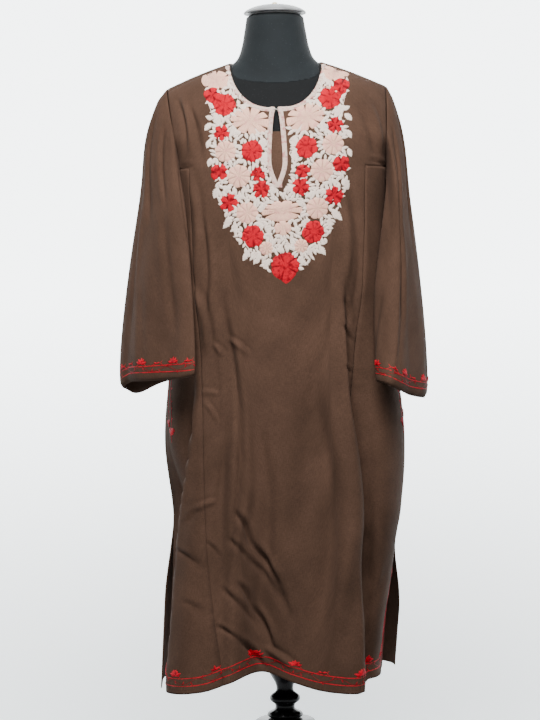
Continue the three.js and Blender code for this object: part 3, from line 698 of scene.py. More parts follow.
def make_body_sheets():
    """The front and back of the tunic as fine sheets, with every fold and crease in them."""
    left, right = fine_columns(-1), fine_columns(1)
    front = [body_column("front", u, -1) for u in reversed(left)]
    front += [body_column("front", -1e-9, -1), body_column("front", 1e-9, 1)]
    front += [body_column("front", u, 1) for u in right]
    back = [body_column("back", u) for u in [*reversed(left), 1e-9, *right]]
    front = np.stack(front, 1)
    back = np.stack(back, 1)
    open_vents(front, "front")
    open_vents(back, "back")
    # Both sides of the neck slit join below its foot.
    middle = len(left)
    front[ARM_ROWS + SLIT_ROWS :, middle + 1] = front[ARM_ROWS + SLIT_ROWS :, middle]
    # The neck's own columns of the back start at the neckline.
    hole = slice(middle - NECK_FINE + 1, middle + NECK_FINE)
    back[:LEAD_ROWS, hole] = back[LEAD_ROWS, hole]
    # Front and back meet along the shoulder seams.
    for c in range(back.shape[1]):
        if abs(c - middle) >= NECK_FINE:
            back[0, c] = front[0, c if c <= middle else c + 1]
    sheets = {"front": Sheet(front, 1, joined=(ARM_ROWS + SLIT_ROWS, middle)), "back": Sheet(back, -1)}
    gores = {
        "front": (GORE_FINE, front.shape[1] - 1 - GORE_FINE),
        "back": (GORE_FINE, back.shape[1] - 1 - GORE_FINE),
    }
    for face, creases, seed in (("front", FRONT_CREASES, 0.4), ("back", BACK_CREASES, 2.9)):
        sheet = sheets[face]
        x, z = sheet.points[..., 0], sheet.points[..., 2]
        amount = settings("cloth").creases * crease_push(creases, x, z)
        if face == "front":
            amount += turn_push(FRONT_TURNS, x, z)
        for k, (deep, size, start, grow) in enumerate(RIPPLES):
            amount += deep * ripple(x, z, size, seed + k) * smooth((start - z) / grow)
        # The stitched hem is flatter, and the edges stay where the seams join them.
        rim = smooth((sheet.down[-1:] - sheet.down) / CALM["foot"])
        amount *= CALM["hem_share"] + (1 - CALM["hem_share"]) * rim
        edge = np.minimum(sheet.across, sheet.across[:, -1:] - sheet.across)
        amount *= smooth(edge / CALM["side"])
        amount *= smooth((sheet.down + 2) / CALM["top"])
        lower = (np.arange(sheet.rows) >= ARM_ROWS)[:, None]
        dip = seam_dip(sheet, gores[face]) * lower
        sheet.push(amount + dip)
    return sheets, middle


# Sleeves, with turn in degrees round each from the shoulder seam over its front. The cuff hangs as a flat,
# slanting oval. Below the shoulder the cloth bows out, stands forward and is full at the cap.
SLEEVES = {
    "left": {
        "side": -1, "lie": (0.712, -0.702),
        "cuff": table(
            "turn x y z",
            (0, -273, -24, 838), (45, -262, -50, 849), (90, -224, -99, 852), (135, -175, -141, 856),
            (180, -146, -150, 861), (225, -156, -122, 860), (270, -198, -72, 849), (315, -247, -33, 829),
            (360, -273, -24, 838),
        ),
        "bow": table(
            "turn out y cap",
            (0, 21, 0, 11), (45, 15, -6, 8), (90, 4, -13, 3), (135, -6, -20, 0),
            (180, -9, -24, 0), (225, 10, -14, 0), (270, 10, 2, 3), (315, 16, 4, 8), (360, 21, 0, 11),
        ),
    },
    "right": {
        "side": 1, "lie": (-0.42, -0.907),
        "cuff": table(
            "turn x y z",
            (0, 250, -14, 815), (45, 249, -50, 815), (90, 233, -98, 818), (135, 208, -142, 828),
            (180, 181, -166, 842), (225, 167, -134, 846), (270, 184, -84, 844), (315, 214, -40, 830),
            (360, 250, -14, 815),
        ),
        "bow": table(
            "turn out y cap",
            (0, 19, 0, 6), (45, 15, -4, 6), (90, 10, -9, 3), (135, 10, -14, 0),
            (180, 6, -16, 0), (225, -8, -12, 0), (270, -2, 2, 0), (315, 10, 3, 3), (360, 19, 0, 6),
        ),
    },
}
# The bow comes soon below the shoulder and lasts to near the cuff
BOW_POWER = 0.45
SLEEVE_ROWS = 110
SLEEVE_COLUMNS = 96
# The girth in which a crease's slant is measured, how far the sleeve stays clear of the tunic's side, how
# deep its creases are pressed, and where along it the cap is fullest
SLEEVE = {"girth": 380, "clear": 3.6, "pressed": 1.5, "cap": 0.14}
# Folds that run down a sleeve: turn in degrees, half width, how far out, and where along it each starts
SLEEVE_FOLDS = (
    (38, 16, -5, 0.35), (75, 18, 4, 0.3), (120, 18, -5, 0.45), (235, 20, 4, 0.3), (290, 22, -6, 0.3),
)
# Creases of the sleeves: from and to are turn in degrees and share of the sleeve's length, and then come
# half width and depth
SLEEVE_CREASES = {
    "left": (
        (18, 0.06, 60, 0.42, 9.0, -2.6),
        (60, 0.02, 96, 0.30, 8.0, -2.4),
        (30, 0.30, 52, 0.78, 10.0, 1.8),
        (96, 0.34, 128, 0.80, 9.0, -2.2),
        (140, 0.10, 168, 0.36, 8.0, -2.6),
        (66, 0.62, 84, 0.97, 8.0, -1.6),
        (232, 0.12, 262, 0.52, 10.0, -2.6),
        (300, 0.20, 322, 0.66, 10.0, 2.2),
        (200, 0.56, 226, 0.92, 8.0, -2.0),
    ),
    "right": (
        (14, 0.08, 44, 0.46, 9.0, -2.4),
        (70, 0.03, 104, 0.34, 8.0, -2.6),
        (40, 0.40, 66, 0.86, 10.0, 2.0),
        (112, 0.30, 140, 0.74, 9.0, -2.6),
        (150, 0.52, 170, 0.92, 8.0, 2.0),
        (228, 0.10, 258, 0.50, 10.0, -2.4),
        (296, 0.26, 318, 0.72, 10.0, 2.2),
        (204, 0.60, 232, 0.94, 8.0, -2.0),
    ),
}


def armhole_loop(sheets, side):
    """The armhole's edge: down its front from the shoulder seam, and up its back."""
    edge = 0 if side < 0 else -1
    front = sheets["front"].points[: ARM_ROWS + 1, edge]
    back = sheets["back"].points[: ARM_ROWS + 1, edge][::-1]
    loop = np.vstack([front, back[1:]])
    loop[-1] = loop[0]
    steps = np.concatenate([[0], np.cumsum(np.linalg.norm(np.diff(loop, axis=0), axis=1))])
    half = steps[ARM_ROWS]
    turns = np.where(
        np.arange(len(loop)) <= ARM_ROWS, 180 * steps / half, 180 + 180 * (steps - half) / (steps[-1] - half)
    )
    # Even turns make even columns round the sleeve.
    even = np.linspace(0, 360, SLEEVE_COLUMNS + 1)
    return np.stack([np.interp(even, turns, loop[:, k]) for k in range(3)], 1), even


def rest_on_body(points, side, gap):
    """Moves a sleeve's points that would lie inside the tunic's side out onto it, this far clear of it."""
    x, y, z = np.moveaxis(points, -1, 0)
    name = "right" if side > 0 else "left"
    seam = along(BODY, z, f"seam_{name}")
    face = np.where(y < seam, along(BODY, z, "front") + seam, along(BODY, z, "back") - seam)
    power = np.where(y < seam, along(SQUARENESS, z, "front"), along(SQUARENESS, z, "back"))
    across = np.maximum(0, x * side) / (along(BODY, z, name) + gap)
    reach = (across**power + (np.abs(y - seam) / (face + gap)) ** power) ** (1 / power)
    grow = np.where((reach < 1) & (reach > 0.5), 1 / np.maximum(reach, 0.5), 1)
    points[..., 0] = x * grow
    points[..., 1] = seam + (y - seam) * grow


def make_sleeve_sheet(sheets, name):
    """A sleeve that runs from the armhole to its cuff, with its bow, cap, folds and creases."""
    spec = SLEEVES[name]
    side = spec["side"]
    loop, turns = armhole_loop(sheets, side)
    angle = np.radians(turns)
    inner, aside = -np.cos(angle), np.sin(angle)
    lie_x, lie_y = spec["lie"]
    cuff = np.stack([along(spec["cuff"], turns, axis) for axis in "xyz"], 1)
    outward = np.stack(
        [lie_x * inner - side * lie_y * aside, lie_y * inner + side * lie_x * aside], 1
    )
    t = np.linspace(0, 1, SLEEVE_ROWS + 1)[:, None]
    t = 0.001 + 0.999 * mix(t**2, t, 0.6)
    points = loop[None] * (1 - t[..., None]) + cuff[None] * t[..., None]
    bow = (4 * t * (1 - t)) ** BOW_POWER
    points[..., 0] += side * bow * along(spec["bow"], turns, "out")[None]
    points[..., 1] += bow * along(spec["bow"], turns, "y")[None]
    cap = bell((t - SLEEVE["cap"]) / SLEEVE["cap"]) * smooth(t / 0.04)
    points[..., 0] += side * cap * along(spec["bow"], turns, "cap")[None]
    for turn, width, out, start in SLEEVE_FOLDS:
        share = bell((turns - turn) / width)[None] * smooth((t - start) / 0.4)
        points[..., :2] += out * share[..., None] * outward[None]
    rest_on_body(points, side, SLEEVE["clear"] * smooth(t / 0.1))
    sheet = Sheet(points, -side, closed=True)
    amount = np.zeros(points.shape[:2])
    length = sheet.down[-1].mean()
    girth = sheet.across[:, -1:]
    for turn0, t0, turn1, t1, width, depth in SLEEVE_CREASES[name]:
        aside = (turn1 - turn0) / 360 * SLEEVE["girth"]
        run = math.hypot((t1 - t0) * length, aside)
        dx, dz = aside / run, (t1 - t0) * length / run
        x = (turns[None] - turn0) / 360 * girth
        z = (t - t0) * length
        place = (x * dx + z * dz) / run
        off = x * dz - z * dx
        amount += SLEEVE["pressed"] * depth * crease_shape(off, width) * crease_fade(place)
    amount += 0.7 * ripple(sheet.across, sheet.down, 22, 1.3 + side) * smooth(t / 0.25)
    amount *= smooth(t / 0.08) * (0.45 + 0.55 * smooth((1 - t) / 0.06))
    sheet.push(amount)
    return sheet


def cloth_mesh(name, sheet, keep=None, weld=False):
    """A sheet, or the cells of it that are kept, as a piece with its own UV in metres."""
    bm = bmesh.new()
    bmesh.ops.create_grid(bm, x_segments=sheet.columns - 1, y_segments=sheet.rows - 1, size=1)
    bm.verts.ensure_lookup_table()
    flat = sheet.points.reshape(-1, 3) * MM
    for vert, place in zip(bm.verts, flat):
        vert.co = place
    middle = sheet.columns // 2
    u = (sheet.across - sheet.across[:, middle : middle + 1]) * MM
    v = (sheet.down[:1] - sheet.down) * MM
    layer = bm.loops.layers.uv.new("cut")
    u, v = u.ravel(), v.ravel()
    for face in bm.faces:
        for loop in face.loops:
            k = loop.vert.index
            loop[layer].uv = (u[k], v[k])
    if keep is not None:
        firsts = {face: min(vert.index for vert in face.verts) for face in bm.faces}
        gone = [face for face, first in firsts.items() if not keep(*divmod(first, sheet.columns))]
        bmesh.ops.delete(bm, geom=gone, context="FACES")
    if weld:
        bmesh.ops.remove_doubles(bm, verts=bm.verts, dist=1e-6)
    if sheet.outward > 0:
        bmesh.ops.reverse_faces(bm, faces=bm.faces)
    return finish_mesh(name, bm)


def finish_mesh(name, bm):
    """Puts a bmesh into the scene as a piece that rides on the object's one body."""
    mesh = bpy.data.meshes.new(name)
    for face in bm.faces:
        face.smooth = True
    bm.to_mesh(mesh)
    bm.free()
    piece = bpy.data.objects.new(name, mesh)
    bpy.context.scene.collection.objects.link(piece)
    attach(piece, "root")
    return piece


def give_wall(piece, thickness):
    """Gives a sheet its thickness, half on each side."""
    wall = piece.modifiers.new("wall", "SOLIDIFY")
    wall.thickness = thickness
    wall.offset = 0
    wall.use_even_offset = False


def stand_for(piece, material, slot, *nodes):
    """Gives a piece its material and hides the nodes that it replaces; slot is not used."""
    piece.data.materials.append(material)
    if nodes:
        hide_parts(*nodes)


# Materials


class Nodes:
    """A new material's node tree, with short calls that add and join nodes."""

    def __init__(self, name, color, rough):
        self.material = bpy.data.materials.new(name)
        self.material.use_nodes = True
        self.material.diffuse_color = (*color, 1)
        self.tree = self.material.node_tree
        self.shader = self.tree.nodes["Principled BSDF"]
        self.shader.inputs["Base Color"].default_value = (*color, 1)
        self.shader.inputs["Roughness"].default_value = rough

    def add(self, kind, **sockets):
        """Adds a node, and gives its sockets a value or joins them to an output."""
        node = self.tree.nodes.new(kind)
        for name, value in sockets.items():
            socket = node.inputs[name.replace("_", " ")]
            if isinstance(value, bpy.types.NodeSocket):
                self.tree.links.new(value, socket)
            else:
                socket.default_value = value
        return node

    def join(self, output, socket):
        self.tree.links.new(output, socket)

    def place(self, uv=True, scale=(1, 1, 1)):
        """The surface's own coordinates in metres, through a Mapping node."""
        source = self.add("ShaderNodeTexCoord")
        mapping = self.add("ShaderNodeMapping", Vector=source.outputs["UV" if uv else "Object"])
        mapping.inputs["Scale"].default_value = scale
        return mapping.outputs["Vector"]

    def ramp(self, factor, *stops):
        """Colours at given places of a factor, blended between them."""
        node = self.add("ShaderNodeValToRGB", Fac=factor)
        elements = node.color_ramp.elements
        while len(elements) < len(stops):
            elements.new(0.5)
        for element, (at, color) in zip(elements, stops):
            element.position = at
            element.color = (*color, 1)
        return node.outputs["Color"]

    def blend(self, factor, a, b, mode="MIX"):
        """Two colours mixed, each a colour or an output."""
        node = self.add("ShaderNodeMix")
        node.data_type = "RGBA"
        node.blend_type = mode
        for socket, value in ((node.inputs[0], factor), (node.inputs[6], a), (node.inputs[7], b)):
            if isinstance(value, bpy.types.NodeSocket):
                self.join(value, socket)
            else:
                socket.default_value = value if isinstance(value, (int, float)) else (*value, 1)
        return node.outputs[2]

    def sum(self, a, b, kind="ADD"):
        """One step of arithmetic on two numbers or outputs."""
        node = self.add("ShaderNodeMath")
        node.operation = kind
        for socket, value in zip(node.inputs, (a, b)):
            if isinstance(value, bpy.types.NodeSocket):
                self.join(value, socket)
            else:
                socket.default_value = value
        return node.outputs[0]

    def bump(self, height, distance, strength=1.0):
        """A fine relief, in metres."""
        node = self.add("ShaderNodeBump", Height=height, Distance=distance, Strength=strength)
        return node.outputs["Normal"]


def wool_material():
    """Dark brown wool blend in a fine twill, with slubs, a soft nap and uneven dye."""
    wool = Nodes("wool_twill", (0.05, 0.028, 0.018), 0.92)
    uv = wool.place()
    twill = wool.add(
        "ShaderNodeTexWave", Vector=uv, Scale=330.0, Distortion=1.6, Detail=2.0, Detail_Scale=2.0
    )
    twill.bands_direction = "DIAGONAL"
    slub = wool.add("ShaderNodeTexNoise", Vector=wool.place(scale=(900, 130, 1)), Scale=1.0, Detail=3.0)
    warp = wool.add("ShaderNodeTexNoise", Vector=wool.place(scale=(140, 1000, 1)), Scale=1.0, Detail=3.0)
    cloud = wool.add("ShaderNodeTexNoise", Vector=uv, Scale=9.0, Detail=4.0, Roughness=0.62)
    dye = wool.ramp(cloud.outputs["Fac"], (0.32, settings("cloth").dark), (0.68, settings("cloth").light))
    thread = wool.sum(slub.outputs["Fac"], warp.outputs["Fac"], "ADD")
    streak = wool.ramp(
        wool.sum(thread, 0.5, "MULTIPLY"), (0.36, (0.78, 0.78, 0.78)), (0.62, (1.16, 1.16, 1.16))
    )
    wool.join(wool.blend(1.0, dye, streak, "MULTIPLY"), wool.shader.inputs["Base Color"])
    height = wool.sum(wool.sum(twill.outputs["Fac"], 0.45, "MULTIPLY"), wool.sum(thread, 0.5, "MULTIPLY"))
    wool.join(wool.bump(height, 0.00035, 0.55), wool.shader.inputs["Normal"])
    wool.shader.inputs["Sheen Weight"].default_value = settings("cloth").sheen
    wool.shader.inputs["Sheen Roughness"].default_value = 0.55
    wool.shader.inputs["Sheen Tint"].default_value = (0.62, 0.46, 0.38, 1)
    wool.shader.inputs["Specular IOR Level"].default_value = 0.1
    return wool.material


def cover_material(name, light, dark):
    """The form's knitted cover: fine ribs, a little lint and wear."""
    cover = Nodes(name, light, 0.8)
    place = cover.place(uv=False)
    ribs = cover.add("ShaderNodeTexWave", Vector=place, Scale=260.0, Distortion=0.6, Detail=2.0)
    rows = cover.add("ShaderNodeTexWave", Vector=place, Scale=200.0, Distortion=0.8, Detail=2.0)
    rows.bands_direction = "Z"
    knit = cover.sum(ribs.outputs["Fac"], rows.outputs["Fac"], "MULTIPLY")
    wear = cover.add("ShaderNodeTexNoise", Vector=place, Scale=18.0, Detail=5.0, Roughness=0.6)
    lint = cover.add("ShaderNodeTexNoise", Vector=place, Scale=420.0, Detail=2.0)
    color = cover.ramp(wear.outputs["Fac"], (0.3, dark), (0.7, light))
    specks = cover.ramp(lint.outputs["Fac"], (0.66, (0, 0, 0)), (0.8, (0.5, 0.5, 0.5)))
    pale = tuple(0.03 + 3 * part for part in light)
    cover.join(cover.blend(specks, color, pale), cover.shader.inputs["Base Color"])
    cover.join(cover.bump(knit, 0.0003, 0.5), cover.shader.inputs["Normal"])
    cover.shader.inputs["Specular IOR Level"].default_value = 0.15
    cover.shader.inputs["Sheen Weight"].default_value = 0.06
    return cover.material


def lacquer_material():
    """Black lacquer over turned wood: a slow unevenness and thin dust."""
    lacquer = Nodes("black_lacquer", (0.004, 0.004, 0.004), 0.16)
    place = lacquer.place(uv=False)
    dust = lacquer.add("ShaderNodeTexNoise", Vector=place, Scale=34.0, Detail=6.0, Roughness=0.7)
    swell = lacquer.add("ShaderNodeTexNoise", Vector=place, Scale=90.0, Detail=2.0)
    color = lacquer.ramp(dust.outputs["Fac"], (0.35, settings("form").lacquer), (0.8, (0.011, 0.0105, 0.01)))
    gloss = lacquer.ramp(dust.outputs["Fac"], (0.3, (0.13, 0.13, 0.13)), (0.75, (0.3, 0.3, 0.3)))
    lacquer.join(color, lacquer.shader.inputs["Base Color"])
    lacquer.join(gloss, lacquer.shader.inputs["Roughness"])
    lacquer.join(lacquer.bump(swell.outputs["Fac"], 0.0004, 0.35), lacquer.shader.inputs["Normal"])
    lacquer.shader.inputs["Specular IOR Level"].default_value = 0.2
    return lacquer.material


def metal_material(name, light, dark, rough, grain, metallic=0.0):
    """Spun or drawn metal: a fine grain along it, and dull patches."""
    metal = Nodes(name, light, rough)
    place = metal.place(uv=False, scale=grain)
    lines = metal.add("ShaderNodeTexNoise", Vector=place, Scale=1.0, Detail=3.0)
    patch = metal.add("ShaderNodeTexNoise", Vector=metal.place(uv=False), Scale=60.0, Detail=4.0)
    color = metal.ramp(patch.outputs["Fac"], (0.35, dark), (0.62, light))
    low, high = (rough - 0.07,) * 3, (rough + 0.12,) * 3
    metal.join(color, metal.shader.inputs["Base Color"])
    metal.join(metal.ramp(lines.outputs["Fac"], (0.3, low), (0.7, high)), metal.shader.inputs["Roughness"])
    metal.join(metal.bump(lines.outputs["Fac"], 0.0001, 0.3), metal.shader.inputs["Normal"])
    metal.shader.inputs["Metallic"].default_value = metallic
    return metal.material


def rounded(profile, steps=5):
    """A turned profile through the given points, on centripetal curves that keep to tight corners."""
    points = np.array(profile, float)
    points = np.vstack([2 * points[0] - points[1], points, 2 * points[-1] - points[-2]])
    out = []
    for i in range(1, len(points) - 2):
        a, b, c, d = points[i - 1 : i + 3]
        ab, bc, cd = (max(0.05, math.dist(p, q)) ** 0.5 for p, q in ((a, b), (b, c), (c, d)))
        slope_b = bc * ((b - a) / ab - (c - a) / (ab + bc) + (c - b) / bc)
        slope_c = bc * ((c - b) / bc - (d - b) / (bc + cd) + (d - c) / cd)
        for t in np.arange(steps) / steps:
            out.append(curve_between(t, b, slope_b, c, slope_c))
    out.append(points[-2])
    return np.array(out)


def turned(name, profile, centre, steps=96):
    """A piece of revolution about an upright axis, spun from its profile of radius and height."""
    bm = bmesh.new()
    x, y = centre
    ring = [bm.verts.new(((x + max(0, r)) * MM, y * MM, z * MM)) for r, z in profile]
    edges = [bm.edges.new(pair) for pair in zip(ring, ring[1:])]
    bmesh.ops.spin(
        bm, geom=ring + edges, cent=(x * MM, y * MM, 0), axis=(0, 0, 1), steps=steps, angle=2 * math.pi,
        use_merge=True,
    )
    bmesh.ops.remove_doubles(bm, verts=bm.verts, dist=2e-6)
    bmesh.ops.recalc_face_normals(bm, faces=bm.faces)
    return finish_mesh(name, bm)


def merged_copy(node):
    """A merged copy of a node's mesh, whose own mesh stays as it is."""
    bm = bmesh.new()
    bm.from_mesh(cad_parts[node].data)
    bmesh.ops.remove_doubles(bm, verts=bm.verts, dist=1e-5)
    return bm


def bake(piece):
    """Puts a piece's modifiers into its mesh."""
    graph = bpy.context.evaluated_depsgraph_get()
    mesh = bpy.data.meshes.new_from_object(piece.evaluated_get(graph))
    piece.modifiers.clear()
    piece.data = mesh


# The sheets of cloth that later steps work on, and the wool
SHEETS = {}


def body_keep(sheet, face, middle, panel):
    """Which cells of the body's sheet belong to a panel, or to its gores."""

    def keep(row, column):
        in_left = column < GORE_FINE
        in_right = column >= sheet.columns - 1 - GORE_FINE
        below = row >= ARM_ROWS
        if panel != "panel":
            return below and (in_left if panel == "left" else in_right)
        if below and (in_left or in_right):
            return False
        if face == "front":
            return column != middle
        return not (row < LEAD_ROWS and middle - NECK_FINE <= column < middle + NECK_FINE)

    return keep


class Tool:
    """What every step's operator shares"""

    bl_options = {"REGISTER", "UNDO"}


class PHERAN_OT_body(Tool, bpy.types.Operator):
    """Makes the front, the back and the four side gores, each as its own sheet of wool"""

    bl_idname = "pheran.body"
    bl_label = "Front, back and gores"

    def execute(self, context):
        sheets, middle = make_body_sheets()
        SHEETS.update(sheets)
        wool = wool_material()
        SHEETS["wool"] = wool
        for face in ("front", "back"):
            sheet = sheets[face]
            for panel in ("panel", "left", "right"):
                name = f"{face}_cloth" if panel == "panel" else f"{face}_gore_cloth_{panel}"
                node = f"{face}_panel" if panel == "panel" else f"{face}_gore_{panel}"
                keep = body_keep(sheet, face, middle, panel)
                piece = cloth_mesh(name, sheet, keep, weld=True)
                give_wall(piece, settings("cloth").wall)
                stand_for(piece, wool, "cloth", node)
                cut_size(sheet, keep)
        return {"FINISHED"}


def cut_size(sheet, keep=None):
    """The width and length in metres of the flat piece that these cells of a sheet are cut from."""
    cells = np.array(
        [[keep is None or keep(r, c) for c in range(sheet.columns - 1)] for r in range(sheet.rows - 1)]
    )
    wide = np.diff(sheet.across, axis=1)[:-1] * cells
    tall = np.diff(sheet.down, axis=0)[:, :-1] * cells
    return tuple(round((most + CUT_SPARE) * MM, 3) for most in (wide.sum(1).max(), tall.sum(0).max()))


# The cut is this much larger than the cloth along its longest row and column
CUT_SPARE = 2


class PHERAN_OT_cuts(Tool, bpy.types.Operator):
    """Does nothing; each sheet's cut size is only worked out, by cut_size, as the sheet is made"""

    bl_idname = "pheran.cuts"
    bl_label = "Cut sizes"

    def execute(self, context):
        return {"FINISHED"}


class PHERAN_OT_sleeves(Tool, bpy.types.Operator):
    """Makes the two wide sleeves, which hang creased from the armholes"""

    bl_idname = "pheran.sleeves"
    bl_label = "Sleeves"

    def execute(self, context):
        for name in ("left", "right"):
            sheet = make_sleeve_sheet(SHEETS, name)
            SHEETS[f"sleeve_{name}"] = sheet
            piece = cloth_mesh(f"sleeve_cloth_{name}", sheet, weld=True)
            give_wall(piece, settings("cloth").wall)
            stand_for(piece, SHEETS["wool"], "cloth", f"sleeve_{name}")
            cut_size(sheet)
        return {"FINISHED"}


# The facing's ends, half its width, how far behind the front it lies, and its thickness
UNDERLAY = {"top": 1272, "foot": 1176, "half": 24, "behind": 2.5, "thick": 1.4}


class PHERAN_OT_underlay(Tool, bpy.types.Operator):
    """Makes the facing sewn behind the neck slit"""

    bl_idname = "pheran.underlay"
    bl_label = "Slit facing"

    def execute(self, context):
        heights = np.linspace(UNDERLAY["top"], UNDERLAY["foot"], 41)
        share = np.linspace(-1, 1, 21)
        x = share[None] * UNDERLAY["half"] * (1 - 0.2 * smooth((1190 - heights) / 14))[:, None]
        z = heights[:, None] * np.ones_like(x)
        s = np.sign(x) * np.where(
            x < 0, seam_s(np.abs(x), z, "front", -1), seam_s(np.abs(x), z, "front", 1)
        )
        sheet = Sheet(body_point(s, z, "front"), 1)
        sheet.push(-UNDERLAY["behind"] * np.ones_like(x))
        piece = cloth_mesh("placket_facing", sheet)
        give_wall(piece, UNDERLAY["thick"] * MM)
        stand_for(piece, SHEETS["wool"], "cloth", "placket_underlay")
        cut_size(sheet)
        return {"FINISHED"}


# The plane of the seam between neck and chest, by its heights and places at the sides and at the front
FORM_SEAM = {"side": 1404, "side_y": -5, "front": 1365, "front_y": -57}
# The voxels and the smoothing that make the form even, and how far its cover then draws in, all in metres
FORM_VOXEL = 0.005
FORM_DRAW_IN = 0.0008


class PHERAN_OT_form(Tool, bpy.types.Operator):
    """Smooths the dress form, and parts its neck from its chest at the sewn seam"""

    bl_idname = "pheran.form"
    bl_label = "Dress form"

    def execute(self, context):
        low = Vector((0, FORM_SEAM["front_y"], FORM_SEAM["front"]))
        high = Vector((0, FORM_SEAM["side_y"], FORM_SEAM["side"]))
        rise = (high - low).normalized()
        normal = Vector((1, 0, 0)).cross(rise)
        if normal.z < 0:
            normal = -normal
        for name, above in (("form_neck", True), ("form_chest", False)):
            piece = finish_mesh(name, merged_copy("form_torso"))
            remesh = piece.modifiers.new("remesh", "REMESH")
            remesh.mode = "VOXEL"
            remesh.voxel_size = FORM_VOXEL
            even = piece.modifiers.new("even", "SMOOTH")
            even.factor = 0.5
            even.iterations = 8
            bake(piece)
            bm = bmesh.new()
            bm.from_mesh(piece.data)
            for vert in bm.verts:
                vert.co -= vert.normal * FORM_DRAW_IN
            geom = [*bm.verts, *bm.edges, *bm.faces]
            cut = bmesh.ops.bisect_plane(
                bm, geom=geom, plane_co=high * MM, plane_no=normal, clear_inner=above, clear_outer=not above
            )
            rim = [e for e in cut["geom_cut"] if isinstance(e, bmesh.types.BMEdge)]
            bmesh.ops.edgeloop_fill(bm, edges=rim)
            for face in bm.faces:
                face.smooth = True
            bm.to_mesh(piece.data)
            bm.free()
            color = settings("form").neck if above else settings("form").chest
            stand_for(piece, cover_material(name, color, shaded(color, 0.68)), "form_cover", "form_torso")
        return {"FINISHED"}


# Turned profiles, as radius and height
CAP = (
    (0, 1481.8), (47, 1481.8), (47, 1484), (53.4, 1484.4), (54.2, 1485.4), (53.4, 1487.4), (49, 1490.6),
    (41, 1494.4), (30, 1497.6), (17, 1499.6), (5.3, 1500.3), (0, 1500.3),
)
KNOB = ((0, 1500.6), (4.6, 1500.6), (5, 1501.4), (4.6, 1503.2), (3, 1504.6), (0, 1505))
POLE = (
    (0, 34.3), (52, 34.3), (54, 40), (48, 52), (34, 66), (25, 95), (22, 140), (22, 210), (31, 230),
    (48, 237), (54, 245), (48, 251), (22, 253.5), (29, 255.5), (31.5, 259), (28, 264), (18, 269),
    (18, 277), (25, 283), (27, 288), (25, 293), (15.5, 301), (16, 312), (24, 327), (31, 341), (28, 354),
    (19, 380), (17, 402), (17, 699.6), (0, 699.6),
)
BASE = (
    (0, 0), (150, 0), (168, 0.1), (171.5, 0.7), (176, 3), (178, 9), (175, 16), (166, 21), (140, 25),
    (100, 28), (62, 31), (56, 34), (0, 34),
)
# The cap sits this far forward of the pole's axis
CAP_Y = -5


class PHERAN_OT_stand(Tool, bpy.types.Operator):
    """Turns the neck cap with its knob, the pole and the round base"""

    bl_idname = "pheran.stand"
    bl_label = "Cap, pole and base"

    def execute(self, context):
        form = settings("form")
        lacquer = lacquer_material()
        metal = metal_material("cap_metal", form.cap, shaded(form.cap, 0.72), 0.42, (60, 60, 1500))
        brass = metal_material("knob_brass", form.knob, shaded(form.knob, 0.72), 0.35, (200, 200, 3000))
        for name, profile, centre, material, slot, node in (
            ("cap_dome", CAP, (0, CAP_Y), metal, "cap_metal", "neck_cap"),
            ("cap_knob_turned", KNOB, (0, CAP_Y), brass, "knob_brass", "cap_knob"),
            ("pole_turned", POLE, (0, 0), lacquer, "black_lacquer", "stand_pole"),
            ("base_turned", BASE, (0, 0), lacquer, "black_lacquer", "stand_base"),
        ):
            piece = turned(name, rounded(profile, 4), centre)
            stand_for(piece, material, slot, node)
        return {"FINISHED"}


# The hook's wire from its eye round to its tip, and half its thickness in metres
HOOK_WIRE = 0.00055
HOOK = ((-5.5, 0.2, 1.2), (-2, -0.5, 2), (2, -0.5, 1.4), (4.6, -0.2, -0.4), (2.6, -0.1, -2.2))


class PHERAN_OT_hook(Tool, bpy.types.Operator):
    """Bends the small wire hook that closes the neck"""

    bl_idname = "pheran.hook"
    bl_label = "Neck hook"

    def execute(self, context):
        low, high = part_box("neck_hook")
        centre = (Vector(low) + Vector(high)) / 2
        middle = Vector([sum(p[k] for p in HOOK) / len(HOOK) for k in range(3)]) * MM
        curve = bpy.data.curves.new("hook_wire", "CURVE")
        curve.dimensions = "3D"
        curve.bevel_depth = HOOK_WIRE
        curve.bevel_resolution = 3
        curve.use_fill_caps = True
        spline = curve.splines.new("NURBS")
        spline.points.add(len(HOOK) - 1)
        for point, place in zip(spline.points, HOOK):
            point.co = (*(Vector(place) * MM - middle + centre), 1)
        spline.use_endpoint_u = True
        wire = bpy.data.objects.new("hook_path", curve)
        bpy.context.scene.collection.objects.link(wire)
        graph = bpy.context.evaluated_depsgraph_get()
        mesh = bpy.data.meshes.new_from_object(wire.evaluated_get(graph))
        bpy.data.objects.remove(wire)
        bm = bmesh.new()
        bm.from_mesh(mesh)
        piece = finish_mesh("neck_hook_wire", bm)
        piece.data.materials.clear()
        metal = metal_material("hook_metal", (0.62, 0.58, 0.52), (0.4, 0.37, 0.33), 0.32, (900, 60, 60), 0.8)
        stand_for(piece, metal, "hook_metal", "neck_hook")
        return {"FINISHED"}


# The yoke is laid out from the foot of the neck slit: p to the right and q down, as seen from the front
YOKE = {"x": 6.3, "z": 1182.9, "lean": 0.03, "tilt": 0.055, "top": -206, "foot": 164, "half": 130}
EYE = (0, -3600, 980)
# How far the worked ground reaches from the middle at each q
YOKE_EDGE = table(
    "q reach",
    (-206, 131),
    (-173, 127),
    (-144, 120),
    (-121, 115),
    (-90, 122),
    (-60, 119),
    (-29, 121),
    (7, 116),
    (33, 106),
    (58, 97),
    (89, 82),
    (125, 55),
    (146, 29),
    (166, 0),
)
